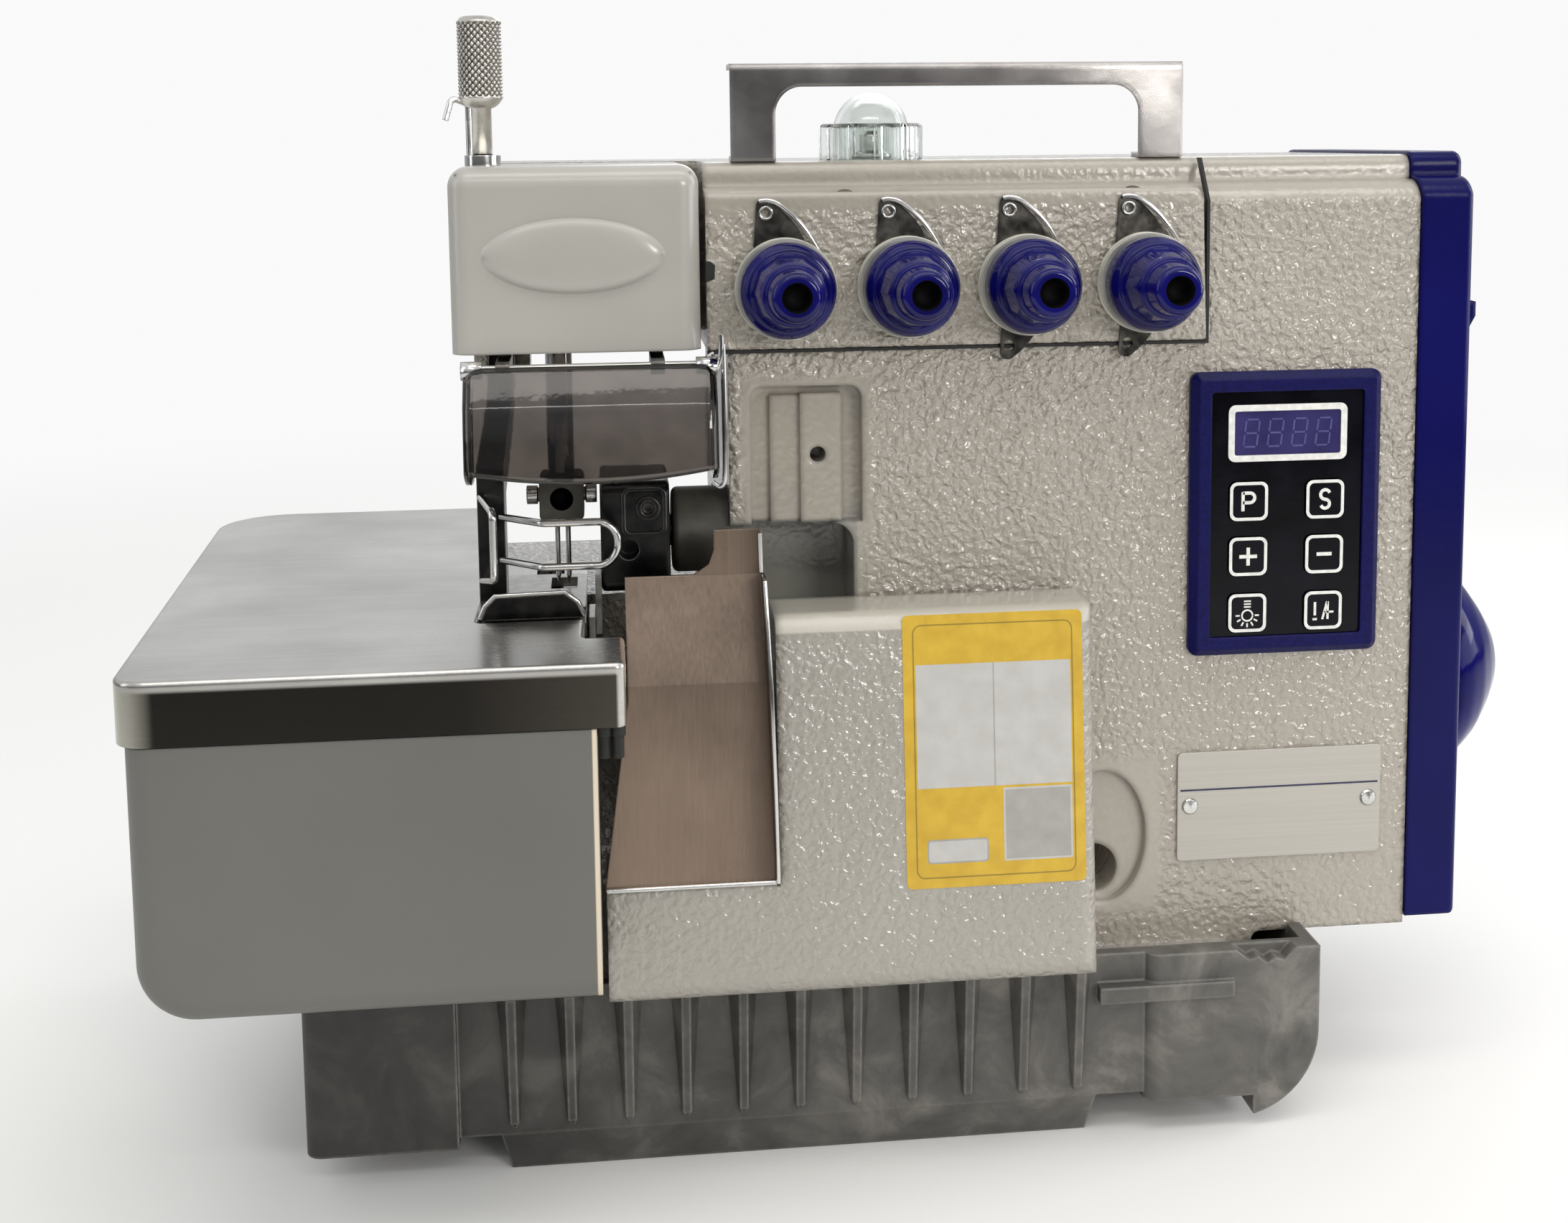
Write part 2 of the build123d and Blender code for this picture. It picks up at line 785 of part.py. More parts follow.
def make_thread_bracket():
    """Folded chromed bridge over the crown that the threads pass under, with two legs and turned feet."""
    z0 = frame_top
    z1 = frame_top + bracket_height
    y0, y1 = bracket_front, bracket_front + bracket_depth
    x0, x1 = bracket_left, bracket_right
    t = bracket_sheet
    bridge = block(x0, x1, y0, y1, z1 - t, z1)
    front = block(x0, x1, y0, y0 + t, z0, z1)
    window = block(x0 + bracket_leg, x1 - bracket_leg, y0 - 1, y0 + t + 1, z0 - 1, z1 - bracket_flange)
    window = fillet(edges_along(window, Axis.Y, [lambda c: c.Z > z0 + 5]), bracket_corner)
    front -= window
    bracket = bridge + front
    bracket = fillet(edges_along(bracket, Axis.X, [lambda c: c.Z > z1 - 0.1, lambda c: c.Y < y0 + 0.1]), t)
    feet = block(x0, x0 + bracket_leg, y0, y0 + bracket_foot, z0, z0 + t)
    feet += block(x1 - bracket_leg, x1, y0, y0 + bracket_foot, z0, z0 + t)
    bracket += feet
    keep("thread_bracket", bracket)


def make_oil_sight():
    """Clear fluted ring on the crown with a clear dome held in it."""
    z0 = frame_top
    ring = revolve_z([(dome_radius + 0.3, z0), (sight_ring_radius, z0),
                      (sight_ring_radius, z0 + sight_ring_height - 1),
                      (sight_ring_radius - 1, z0 + sight_ring_height), (dome_radius + 0.3,
                                                                        z0 + sight_ring_height)],
                     sight_x, sight_y)
    for k in range(sight_flutes):
        flute = rod_z(sight_ring_radius + 0.7, 0, z0 - 1, z0 + sight_ring_height + 1, 1.6)
        ring -= Pos(sight_x, sight_y, 0) * Rot(0, 0, k * 360 / sight_flutes) * flute
    keep("oil_sight_ring", ring)
    base = dome_height - dome_radius
    outer = rod_z(0, 0, 0, base, dome_radius) + Pos(0, 0, base) * Sphere(dome_radius)
    inner = rod_z(0, 0, -1, base, dome_radius - dome_wall) + Pos(0, 0, base) * Sphere(dome_radius - dome_wall)
    dome = outer - block(-20, 20, -20, 20, -20, 0) - inner
    keep("oil_sight_dome", Pos(sight_x, sight_y, z0) * dome)


def make_side_cover():
    """Glossy end cover over the motor, following the frame's stepped outline, with a small guard tab."""
    x0 = frame_right + side_gap
    outline = crown_outline(-side_overhang, side_bottom)
    cover = extrude(Pos(x0, 0, 0) * outline, amount=side_thickness, dir=(1, 0, 0))
    outer = [e for e in cover.edges() if abs(e.center().X - x0 - side_thickness) < 0.05]
    cover = fillet(outer, 2.6)
    x1, z = x0 + side_thickness, tab_bottom
    tab = [(x1 - 1, z), (x1 + 2, z), (x1 + tab_length, z + tab_height * 0.58),
           (x1 + tab_length, z + tab_height * 0.87), (x1 - 1, z + tab_height)]
    cover += prism_y(tab, tab_y, tab_y + tab_thickness)
    cover -= rod_x(x0 - 1, x0 + side_thickness + 1, shaft_y, shaft_z, shaft_radius + 1.0)
    keep("side_cover", cover)


def make_drive():
    """Main shaft through the bed, direct-drive motor in the frame's end, and the domed handwheel."""
    x0 = frame_right + side_gap + side_thickness + wheel_gap
    shaft_end = x0 + wheel_bore_depth
    keep("main_shaft", rod_x(shaft_left, shaft_end, shaft_y, shaft_z, shaft_radius))
    motor = rod_x(frame_right - motor_length, frame_right - 1, shaft_y, shaft_z, motor_radius)
    motor -= rod_x(frame_right - motor_length, frame_right, shaft_y, shaft_z, shaft_radius + 1.0)
    keep("motor", motor)
    rim, r, depth = wheel_rim, wheel_radius, wheel_depth
    profile = [(x0, shaft_radius), (x0, r - wheel_edge), (x0 + wheel_edge, r), (x0 + rim * 0.6, r),
               (x0 + rim, r - wheel_rim_drop)]
    profile += [(x0 + depth - from_end, r - drop) for from_end, drop in wheel_dome]
    profile += [(x0 + depth, 0), (shaft_end, 0), (shaft_end, shaft_radius)]
    wheel = revolve_x(profile, shaft_y, shaft_z)
    keep("handwheel", wheel)


def make_panel():
    """Bevelled bezel, dark face, display window and six sprung keys."""
    front = frame_front - bezel_proud
    width, height = bezel_right - bezel_left, bezel_top - bezel_bottom
    cx, cz = (bezel_left + bezel_right) / 2, (bezel_top + bezel_bottom) / 2
    plane = Pos(cx, frame_front, cz) * Rot(90, 0, 0)
    bezel = plane * extrude(RectangleRounded(width, height, bezel_radius), amount=bezel_proud)
    rim = [e for e in bezel.edges() if abs(e.center().Y - front) < 0.05]
    bezel = chamfer(rim, bezel_bevel)
    inner_w, inner_h = width - 2 * bezel_border, height - 2 * bezel_border
    bezel -= plane * extrude(RectangleRounded(inner_w, inner_h, 1.0), amount=bezel_proud + 1)
    keep("panel_bezel", bezel)
    gap = 0.15
    face_front = front + face_sink
    face = plane * extrude(RectangleRounded(inner_w - 2 * gap, inner_h - 2 * gap, 0.8),
                           amount=frame_front - face_front)
    display_plane = Pos(cx, face_front, bezel_top - display_drop) * Rot(90, 0, 0)
    for name_row, drop in zip(key_names, key_drops):
        for name, side in zip(name_row, (-1, 1)):
            key_plane = Pos(cx + side * key_pitch_x / 2, face_front + key_depth,
                            bezel_top - drop) * Rot(90, 0, 0)
            well = extrude(RectangleRounded(key_size + 2 * key_clearance, key_size + 2 * key_clearance,
                                            key_radius + key_clearance), amount=key_depth + 1)
            face -= key_plane * well
            cap = extrude(RectangleRounded(key_size, key_size, key_radius),
                          amount=key_depth - key_travel + key_proud)
            keep(name, Pos(0, -key_travel, 0) * key_plane * cap)
    keep("panel_face", face)
    display = display_plane * extrude(RectangleRounded(display_width, display_height, 2.0),
                                      amount=display_proud)
    display -= display_plane * extrude(Pos(0, 0, display_proud / 2) * RectangleRounded(
        display_width - 2 * display_frame, display_height - 2 * display_frame, 1.0), amount=display_proud)
    keep("panel_display", display)


def make_rating_plate():
    """Thin blank plate with two domed rivets."""
    cx, cz = (plate_left + plate_right) / 2, (plate_top + plate_bottom) / 2
    plane = Pos(cx, frame_front, cz) * Rot(90, 0, 0)
    plate = plane * extrude(RectangleRounded(plate_right - plate_left, plate_top - plate_bottom,
                                             plate_radius),
                            amount=plate_thickness)
    keep("rating_plate", plate)
    face = frame_front - plate_thickness
    head = [(0, face), (rivet_radius, face), (rivet_radius * 0.8, face - rivet_head * 0.7),
            (0, face - rivet_head)]
    keep("plate_rivets", *[revolve_y(head, x, rivet_z) for x in (plate_left + rivet_inset,
                                                                 plate_right - rivet_inset)])


def make_head_cover():
    """Pressed cover over the needle bar's head, open at the back and below, with a bare oval boss."""
    cover = block(cover_left, cover_right, cover_front, cover_back, cover_bottom, cover_top)
    rounded = [e for e in cover.edges()
               if e.center().Y < cover_back - 1 and e.center().Z > cover_bottom + 0.1]
    cover = fillet(rounded, cover_radius)
    w = cover_wall
    cover -= block(cover_left + w, cover_right - w, cover_front + w, cover_back + 1, cover_bottom - 1,
                   cover_top - w)
    lens_width, lens_height = boss_length / 2, boss_height / 2
    lens = Curve() + [ThreePointArc((-lens_width, 0), (0, lens_height), (lens_width, 0)),
                      ThreePointArc((lens_width, 0), (0, -lens_height), (-lens_width, 0))]
    boss = Pos(boss_x, cover_front + 0.2, boss_z) * Rot(90, 0, 0) * extrude(make_face(lens),
                                                                            amount=boss_proud)
    cover += boss
    cover -= rod_z(regulator_x, regulator_y, cover_top - 2 * w, cover_top + 1, regulator_neck_radius + 0.4)
    keep("head_cover", cover)


def make_eye_guard():
    """Clear guard in front of the needles, hinged on a pin carried by two arms under the head."""
    y, z, t = guard_pin_y, guard_pin_z, guard_wall
    knee = (guard_front + 3.0, z - 9.0)
    profile = [(y - 1.2, z + 1.2), (knee[0], knee[1]), (guard_front, guard_bottom),
               (guard_front + t, guard_bottom),
               (knee[0] + t, knee[1] - 1.0), (y + 0.4, z - 1.2)]
    sheet = prism_x(profile, guard_left, guard_right)
    sag = rod_y((guard_left + guard_right) / 2, guard_front - 3, y + 6, guard_bottom + guard_sag_height +
                0.5 - guard_sag_radius, guard_sag_radius)
    sheet = sheet - block(guard_left - 1, guard_right + 1, guard_front - 2, y + 5, 0,
                          guard_bottom + guard_sag_height) + (
        sheet & (block(guard_left - 1, guard_right + 1, guard_front - 2, y + 5, guard_bottom,
                       guard_bottom + guard_sag_height) & sag))
    side = [(y + 1.0, z - 4.5), (knee[0] + 0.5, knee[1]), (guard_front + 0.4, guard_bottom + 3),
            (guard_front + 6, guard_side_bottom), (guard_back - 6, guard_side_bottom), (guard_back, z - 12),
            (guard_back, z - 4.5)]
    for x in (guard_left, guard_right - t):
        sheet += prism_x(side, x, x + t)
    for x in (guard_left, guard_right - guard_knuckle_length):
        sheet += rod_x(x, x + guard_knuckle_length, y, z, guard_knuckle_radius)
    sheet -= rod_x(guard_left - 1, guard_right + 1, y, z, guard_pin_radius + guard_pin_clearance)
    for x in guard_arms:
        sheet -= rod_x(x - 0.5, x + guard_arm_thickness + 0.5, y, z, guard_knuckle_radius + 0.5)
    keep("eye_guard", sheet)
    keep("guard_pin", rod_x(guard_left + 0.5, guard_right - 0.5, y, z, guard_pin_radius))
    arms = []
    for x in guard_arms:
        reach = [(y, z + guard_lug), (y, z - guard_lug), (head_block_front + guard_arm_bend, z - guard_lug)]
        reach += [(head_block_front + back, head_block_bottom) for back in guard_arm_foot]
        reach.append((head_block_front + guard_arm_root, z + guard_lug))
        arm = prism_x(reach, x, x + guard_arm_thickness) + rod_x(x, x + guard_arm_thickness, y, z, guard_lug)
        arms.append(arm - rod_x(x - 1, x + guard_arm_thickness + 1, y, z, guard_pin_radius))
    keep("guard_bracket", *arms)


def make_needles():
    """Needle bar, its clamp and two needles."""
    keep("needle_bar", rod_z(needle_x, needle_y, needle_bar_bottom, needle_bar_top, needle_bar_radius))
    z1 = needle_bar_bottom
    z0 = z1 - clamp_height
    y0, y1 = needle_y - clamp_depth / 2, needle_y + clamp_depth / 2
    clamp = block(needle_x - clamp_width / 2, needle_x + clamp_width / 2, y0, y1, z0, z1)
    clamp = fillet(edges_along(clamp, Axis.Z, [lambda c: True]), 2.0)
    clamp -= rod_y(needle_x, y0 - 1, y0 + 6, z0 + clamp_height * 0.5, clamp_hole_radius)
    keep("needle_clamp", clamp)
    needles = []
    for side in (-1, 1):
        x = needle_x + side * needle_spacing / 2
        shape = [(0, z0), (needle_radius, z0), (needle_radius, z0 - needle_length + needle_tip),
                 (0, z0 - needle_length)]
        needles.append(revolve_z(shape, x, needle_y))
    keep("needles", *needles)


def make_presser():
    """Presser shaft in the arm's lugs, arm beside the needles, foot and two wire finger guards."""
    half = presser_arm_width / 2
    shaft = rod_x(presser_arm_x - half - presser_ear - 0.3, presser_arm_x + half + presser_ear + 0.3,
                  presser_pivot_y, presser_pivot_z, presser_pivot_radius)
    keep("presser_shaft", shaft)
    z, h = presser_pivot_z, presser_arm_height
    foot_top = needle_plate_top() + foot_gap + foot_thickness
    bend = presser_arm_front
    back, rise, front = presser_eye
    knee_y, knee_z = presser_knee
    outline = [(presser_pivot_y + back, z - rise), (presser_pivot_y + back, z + rise),
               (presser_pivot_y - front, z + rise), (presser_pivot_y - knee_y, z - knee_z),
               (bend, z - presser_fall), (bend, foot_top), (bend + presser_leg, foot_top),
               (bend + presser_leg, z - presser_fall - h),
               (presser_pivot_y - knee_y + presser_knee_setback, z - knee_z - h)]
    arm = prism_x(outline, presser_arm_x - half, presser_arm_x + half)
    arm -= rod_x(presser_arm_x - 10, presser_arm_x + 10, presser_pivot_y, z,
                 presser_pivot_radius + presser_clearance)
    keep("presser_arm", arm)
    low = foot_top - foot_thickness
    foot = block(foot_left, foot_right, foot_front, foot_back, low, foot_top)
    foot = fillet(edges_along(foot, Axis.Z, [lambda c: True]), 3.0)
    foot -= block(needle_x - foot_slot, needle_x + foot_slot, needle_y - foot_slot, needle_y + foot_slot_back,
                  low - 1, foot_top + 1)
    toe = edges_along(foot, Axis.X, [lambda c: c.Y < foot_front + 0.1, lambda c: c.Z < low + 0.1])
    foot = chamfer(toe, 1.6)
    keep("presser_foot", foot)
    clear = block(presser_arm_x - half - 1, presser_arm_x + half + 1, presser_arm_front,
                  presser_arm_front + 4,
                  foot_top, z)
    keep("finger_guard", wire_loop() - clear, wire_frame() - clear)


def needle_plate_top():
    """Level of the needle plate's upper face."""
    return bed_top + needle_plate_thickness


def bent_wire(points, radius, bends):
    """Round wire through the points with each corner bent to a radius."""
    path = FilletPolyline(*points, radius=bends)
    plane = Plane(origin=path @ 0, z_dir=path % 0)
    return sweep(plane * Circle(radius), path=path)


def wire_loop():
    """Wire loop in front of the needles, lying on its side, its ends brazed to the presser arm."""
    y, x0, x1 = wire_loop_y, wire_loop_left, wire_loop_right
    z0, z1 = wire_loop_bottom, wire_loop_top
    foot_x = presser_arm_x + presser_arm_width / 2 - wire_radius
    return bent_wire([(foot_x, presser_arm_front, z1), (x0, y, z1), (x1, y, z1), (x1, y, z0), (x0, y, z0),
                      (foot_x, presser_arm_front, z0)], wire_radius,
                     (wire_bend, wire_loop_bend, wire_loop_bend, wire_bend))


def wire_frame():
    """Second wire, a shallow trapezoid standing out from the presser arm to the left of the loop."""
    x0 = presser_arm_x - presser_arm_width / 2 + wire_radius
    x1 = x0 + wire_frame_width
    z0, z1 = wire_loop_bottom - wire_frame_margin, wire_loop_top + wire_frame_margin
    return bent_wire([(x0, presser_arm_front, z1), (x1, wire_loop_y, z1 - wire_bend),
                      (x1, wire_loop_y, z0 + wire_bend), (x0, presser_arm_front, z0)], wire_radius, wire_bend)


def make_regulator():
    """Knurled presser pressure screw with its polished neck, and a bent wire thread guide beside it."""
    z0, r = regulator_neck_top, regulator_radius
    top = z0 + regulator_grip
    low = cover_top - regulator_stem_depth
    shape = [(0, low), (regulator_stem_radius, low), (regulator_stem_radius, cover_top - cover_wall),
             (regulator_neck_radius, cover_top - cover_wall), (regulator_neck_radius, z0 - 2),
             (r - 1.4, z0), (r, z0 + 1.5), (r, top - 2.0), (r - 1.6, top), (0, top)]
    knob = revolve_z(shape, regulator_x, regulator_y)
    for k in range(regulator_knurls):
        turn = k * 360 / regulator_knurls
        groove = rod_z(r + 0.5, 0, z0 + 1.5, top - 2.5, 0.8)
        knob -= Pos(regulator_x, regulator_y, 0) * Rot(0, 0, turn) * groove
    keep("pressure_knob", knob)
    collar = revolve_z([(regulator_neck_radius + 0.15, cover_top), (regulator_collar_radius, cover_top),
                        (regulator_collar_radius, cover_top + regulator_collar_height),
                        (regulator_neck_radius + 0.15,
                         cover_top + regulator_collar_height)], regulator_x, regulator_y)
    keep("pressure_locknut", collar)
    x, y, z = hook_x, hook_y, frame_top + hook_rise
    curl = [(x + dx, y + dy, z + dz) for dx, dy, dz in (hook_crest, hook_tip)]
    keep("wire_thread_guide", bent_wire([(x, y, frame_top - hook_depth), (x, y, z)] + curl, hook_radius,
                                        hook_bend))


def make_knives():
    """Bushing on the frame, upper knife's drive arm and blade, and the fixed lower knife."""
    y, z = knife_pivot_y, knife_pivot_z
    bush = rod_x(bushing_left, frame_left, y, z, bushing_radius)
    bush = fillet([e for e in bush.edges() if e.center().X < bushing_left + 0.1], 2.0)
    bush -= rod_x(bushing_left - 1, frame_left + 1, y, z, knife_shaft_radius + bearing_clearance)
    keep("arm_bushing", bush)
    arm = block(knife_arm_left, knife_arm_right, knife_arm_front, knife_arm_back, knife_arm_bottom,
                knife_arm_top)
    arm = fillet(edges_along(arm, Axis.X, [lambda c: True]), 4.0)
    arm = fillet(edges_along(arm, Axis.Z, [lambda c: c.Y < knife_arm_front + 1]), 1.5)
    arm -= rod_y((knife_arm_left + knife_arm_right) / 2 - 2, knife_arm_front - 1, knife_arm_front + 8,
                 z - 2, 3.0)
    arm += rod_x(knife_arm_right - 1, frame_left - 0.3, y, z, knife_shaft_radius)
    keep("upper_knife_arm", arm)
    blade_back = knife_arm_front + knife_blade_width
    tip = [(knife_arm_front, knife_blade_top), (knife_arm_front, knife_blade_bottom + 4),
           (blade_back, knife_blade_bottom), (blade_back, knife_blade_top)]
    keep("upper_knife", prism_x(tip, knife_arm_left - knife_blade_thickness, knife_arm_left))
    edge = needle_plate_top() - 0.3
    lower = [(lower_knife_front, edge - lower_knife_height), (lower_knife_front, edge),
             (blade_back + 2, edge),
             (bed_front, bed_top - 8), (bed_front, edge - lower_knife_height - 2)]
    x1 = knife_arm_left - knife_blade_thickness - 0.1
    keep("lower_knife", prism_x(lower, x1 - knife_blade_thickness, x1))


def make_needle_plate():
    """Needle plate with slots for the needles and the feed dog."""
    top = needle_plate_top()
    plate = block(needle_plate_left, needle_plate_right, needle_plate_front, needle_plate_back, bed_top, top)
    plate = fillet(edges_along(plate, Axis.Z, [lambda c: True]), 3.0)
    plate -= block(needle_x - needle_slot, needle_x + needle_slot, needle_y - 2.5, needle_y + 2.5,
                   bed_top - 1, top + 1)
    gap = feed_clearance
    for row in (-1, 1):
        x = feed_x + row * feed_width / 4
        w = feed_width / 4 - 0.4
        plate -= block(x - w - gap, x + w + gap, feed_front - feed_travel - gap,
                       feed_back + feed_travel + gap,
                       bed_top - 1, top + 1)
    plate -= block(feed_x - feed_width / 2 - 0.6, feed_x + feed_width / 2 + 0.6,
                   feed_front - feed_travel - gap,
                   bed_front, bed_top - 1, bed_top + 1)
    keep("needle_plate", plate)


def make_feed_dog():
    """Two toothed rows on a bar that rocks along the feed direction."""
    top = needle_plate_top() + feed_proud
    bar_top = bed_top - 0.5
    dog = block(feed_x - feed_width / 2, feed_x + feed_width / 2, feed_front, feed_back, feed_bar_bottom,
                bar_top)
    count = int((feed_back - feed_front) / feed_tooth_pitch)
    for row in (-1, 1):
        x = feed_x + row * feed_width / 4
        w = feed_width / 4 - 0.4
        teeth = [(feed_front, bar_top - 0.5), (feed_front, top - feed_tooth_height)]
        for i in range(count):
            y = feed_front + i * feed_tooth_pitch
            teeth += [(y + feed_tooth_pitch * 0.7, top), (y + feed_tooth_pitch, top - feed_tooth_height)]
        teeth.append((feed_back, bar_top - 0.5))
        dog += prism_x(teeth, x - w, x + w)
    keep("feed_dog", dog)


def make_loopers():
    """Lower and upper looper: a shaft in the bed, a bent arm and a curved hook beside the needles."""
    planes = (needle_y + looper_offset, needle_y - looper_offset - looper_thickness)
    for name, (x, z), y, (dx, dz) in zip(("lower_looper", "upper_looper"), looper_places, planes,
                                         looper_reach):
        shaft = rod_y(x, y, bed_front + looper_bore - 1, z, looper_rod_radius)
        hub = rod_y(x, y, y + looper_thickness, z, looper_arm_width)
        w = looper_arm_width / 2
        hook = Curve() + [Line((x - w, y, z), (x + dx * 0.35, y, z + dz * 0.8)),
                          ThreePointArc((x + dx * 0.35, y, z + dz * 0.8), (x + dx * 0.6, y, z + dz * 1.02),
                                        (x + dx, y, z + dz)),
                          Line((x + dx, y, z + dz), (x + dx, y, z + dz + 1.2)),
                          ThreePointArc((x + dx, y, z + dz + 1.2), (x + dx * 0.5, y, z + dz * 1.12),
                                        (x + w, y, z + dz * 0.7)),
                          Line((x + w, y, z + dz * 0.7), (x + w, y, z)), Line((x + w, y, z), (x - w, y, z))]
        keep(name, shaft + hub + extrude(make_face(hook), amount=looper_thickness, dir=(0, 1, 0)))


def rounded_outline(points, radii, z):
    """Closed outline in a level plane, each corner rounded by its own radius (0 keeps it sharp)."""
    edges, starts, ends = [], [], []
    count = len(points)
    for i, r in enumerate(radii):
        here = Vector(*points[i])
        before = (Vector(*points[i - 1]) - here).normalized()
        after = (Vector(*points[(i + 1) % count]) - here).normalized()
        half = radians(before.get_angle(after)) / 2
        reach = r / tan(half) if r else 0
        a, b = here + before * reach, here + after * reach
        starts.append(a)
        ends.append(b)
        if r:
            middle = here + (before + after).normalized() * (r / sin(half) - r)
            edges.append(ThreePointArc((a.X, a.Y, z), (middle.X, middle.Y, z), (b.X, b.Y, z)))
    for i in range(count):
        a, b = ends[i], starts[(i + 1) % count]
        edges.append(Line((a.X, a.Y, z), (b.X, b.Y, z)))
    return make_face(Curve() + edges)


def make_cloth_plate():
    """Pressed stainless cloth plate with a turned-down rim at the front and left, and its hinge boss."""
    step_back = needle_plate_front - cloth_plate_gap
    corners = [(cloth_left_front, cloth_front), (cloth_front_right, cloth_front),
               (cloth_front_right, cloth_step_y),
               (cloth_middle_right, cloth_step_y), (cloth_middle_right, step_back), (cloth_inner_right,
                                                                                     step_back),
               (cloth_inner_right, cloth_back), (cloth_left_back, cloth_back)]
    radii = [cloth_corner_front, 3.0, 1.5, 1.5, 1.0, 1.0, 2.0, cloth_corner_back]
    low = cloth_top - cloth_rim
    body = extrude(rounded_outline(corners, radii, low), amount=cloth_rim, dir=(0, 0, 1))
    rim_edges = [e for e in body.edges() if e.center().Z > cloth_top - 0.05
                 and (e.center().Y < cloth_front + 4 or e.center().X < cloth_left_front + 8)]
    body = fillet(rim_edges, 1.4)
    t = cloth_sheet
    inner = [(cloth_left_front + t, cloth_front + t), (cloth_front_right - t, cloth_front + t),
             (cloth_front_right - t, cloth_step_y - t), (cloth_front_right + 1, cloth_step_y - t),
             (cloth_front_right + 1, cloth_back + 1), (cloth_left_back + cloth_corner_back, cloth_back + 1),
             (cloth_left_back + t, cloth_back - cloth_corner_back)]
    inner_radii = [cloth_corner_front - t, 1.4, 0, 0, 0, 0, 12.0]
    body -= extrude(rounded_outline(inner, inner_radii, low - 1), amount=cloth_rim - t + 1, dir=(0, 0, 1))
    boss = rod_z(plate_pin_x, plate_pin_y, cloth_top - t - plate_boss_height, cloth_top - t,
                 plate_boss_radius)
    body += boss
    body -= rod_z(plate_pin_x, plate_pin_y, low - 20, cloth_top - t - 0.2, plate_pin_radius + slide_clearance)
    keep("cloth_plate", body)
    post = rod_z(plate_pin_x, plate_pin_y, deck_level + seat_flange, cloth_top - t - 0.6, plate_pin_radius)
    post += rod_z(plate_pin_x, plate_pin_y, deck_level + seat_flange, deck_level + seat_flange + 8,
                  plate_pin_radius + 4)
    keep("plate_hinge_post", post)


def make_left_cover():
    """Moulded cover below the cloth plate, open at the top and towards the machine."""
    x0, x1 = cloth_left_front + left_cover_inset, left_cover_right
    y0, y1 = cloth_front + left_cover_gap, left_cover_back
    z0, z1 = left_cover_bottom, cloth_top - cloth_rim - left_cover_gap
    shell = block(x0, x1, y0, y1, z0, z1)
    shell = fillet(edges_along(shell, Axis.Y, [lambda c: c.X < x0 + 1, lambda c: c.Z < z0 + 1]),
                   left_cover_radius)
    front = [e for e in shell.edges() if e.center().Y < y0 + 0.1
             and (e.center().X < x0 + left_cover_radius or e.center().Z < z0 + 1) and e.center().Z < z1 - 1]
    shell = fillet(front, left_cover_front_radius)
    w = left_cover_wall
    hollow = block(x0 + w, x1 - w, y0 + w, y1 - w, z0 + w, z1 + 1)
    low_edges = edges_along(hollow, Axis.Y, [lambda c: c.X < x0 + w + 1, lambda c: c.Z < z0 + w + 1])
    hollow = fillet(low_edges, left_cover_radius - w)
    shell -= hollow
    bed_side = bed_left - 2.0
    shell -= block(bed_side, x1 + 1, bed_front - 2.0, y1 + 1, z0 - 1, z1 + 1)
    shell -= block(bed_side, x1 - w, looper_front_top + left_cover_notch, y1 + 1, z0 - 1, z1 + 1)
    shell -= block(x1 - w - 1, x1 + 1, lower_knife_front - seat_gap, bed_front, z0 - 1, z1 + 1)
    keep("left_cover", shell)


def make_looper_cover():
    """Cast cover in front of the loopers, cut away at the upper left for the chute, with ears on its rod."""
    back = frame_front - seat_gap
    w = looper_wall

    def outline(inset):
        return [(back + (1 if inset else 0), looper_bottom + inset),
                (looper_front_bottom + inset, looper_bottom + inset),
                (looper_front_top + inset, looper_top - inset), (back + (1 if inset else 0),
                                                                 looper_top - inset)]

    cover = prism_x(outline(0), looper_left, looper_right)
    cover -= block(looper_left - 1, looper_notch_right, looper_front_bottom - 1, back + 1,
                   looper_notch_z, looper_top + 1)
    ends = [e for e in cover.edges()
            if e.center().Y < looper_front_top + 1 and e.center().X > looper_right - 1]
    ends += [e for e in cover.edges().filter_by(Axis.X)
             if e.center().Y < looper_front_top + 1 and e.center().X > looper_notch_right]
    cover = fillet(ends, looper_radius)
    cover -= prism_x(outline(w), looper_notch_right + w, looper_right - w)
    low = prism_x(outline(w), looper_left + w, looper_notch_right + w + 1)
    low -= block(looper_left - 1, looper_right, looper_front_bottom - 1, back + 2, looper_notch_z - w,
                 looper_top + 1)
    cover -= low
    y, z = looper_rod_y, looper_rod_z
    cover -= block(looper_left - 1, looper_right + 1, looper_relief_y, back + 1, looper_bottom - 1,
                   looper_relief_top)
    for x in looper_brackets:
        cover -= block(x - looper_slide - 0.5, x + looper_bracket_width + 0.5, y - looper_pin_radius,
                       back + 1,
                       looper_bottom - 1, looper_relief_top)
    for x in (looper_left + w + 2, looper_right - w - 2 - looper_ear):
        ear = rod_x(x, x + looper_ear, y, z, looper_pin_radius + 2.0)
        ear += block(x, x + looper_ear, y - 3, y + 3, looper_bottom + 1, z)
        cover += ear
    cover -= rod_x(looper_left + w, looper_right - w, y, z, looper_pin_radius + looper_pin_clearance)
    keep("looper_cover", cover)
    keep("looper_rod", rod_x(looper_left + w + 0.5, looper_right - w - 0.5, y, z, looper_pin_radius))
    r = looper_bracket_radius
    arms = []
    for x in looper_brackets:
        x1 = x + looper_bracket_width
        arm = block(x, x1, y, frame_front, z - r, z + r) + rod_x(x, x1, y, z, r)
        arms.append(arm - rod_x(x - 1, x1 + 1, y, z, looper_pin_radius + slide_clearance))
    keep("looper_rod_brackets", *arms)


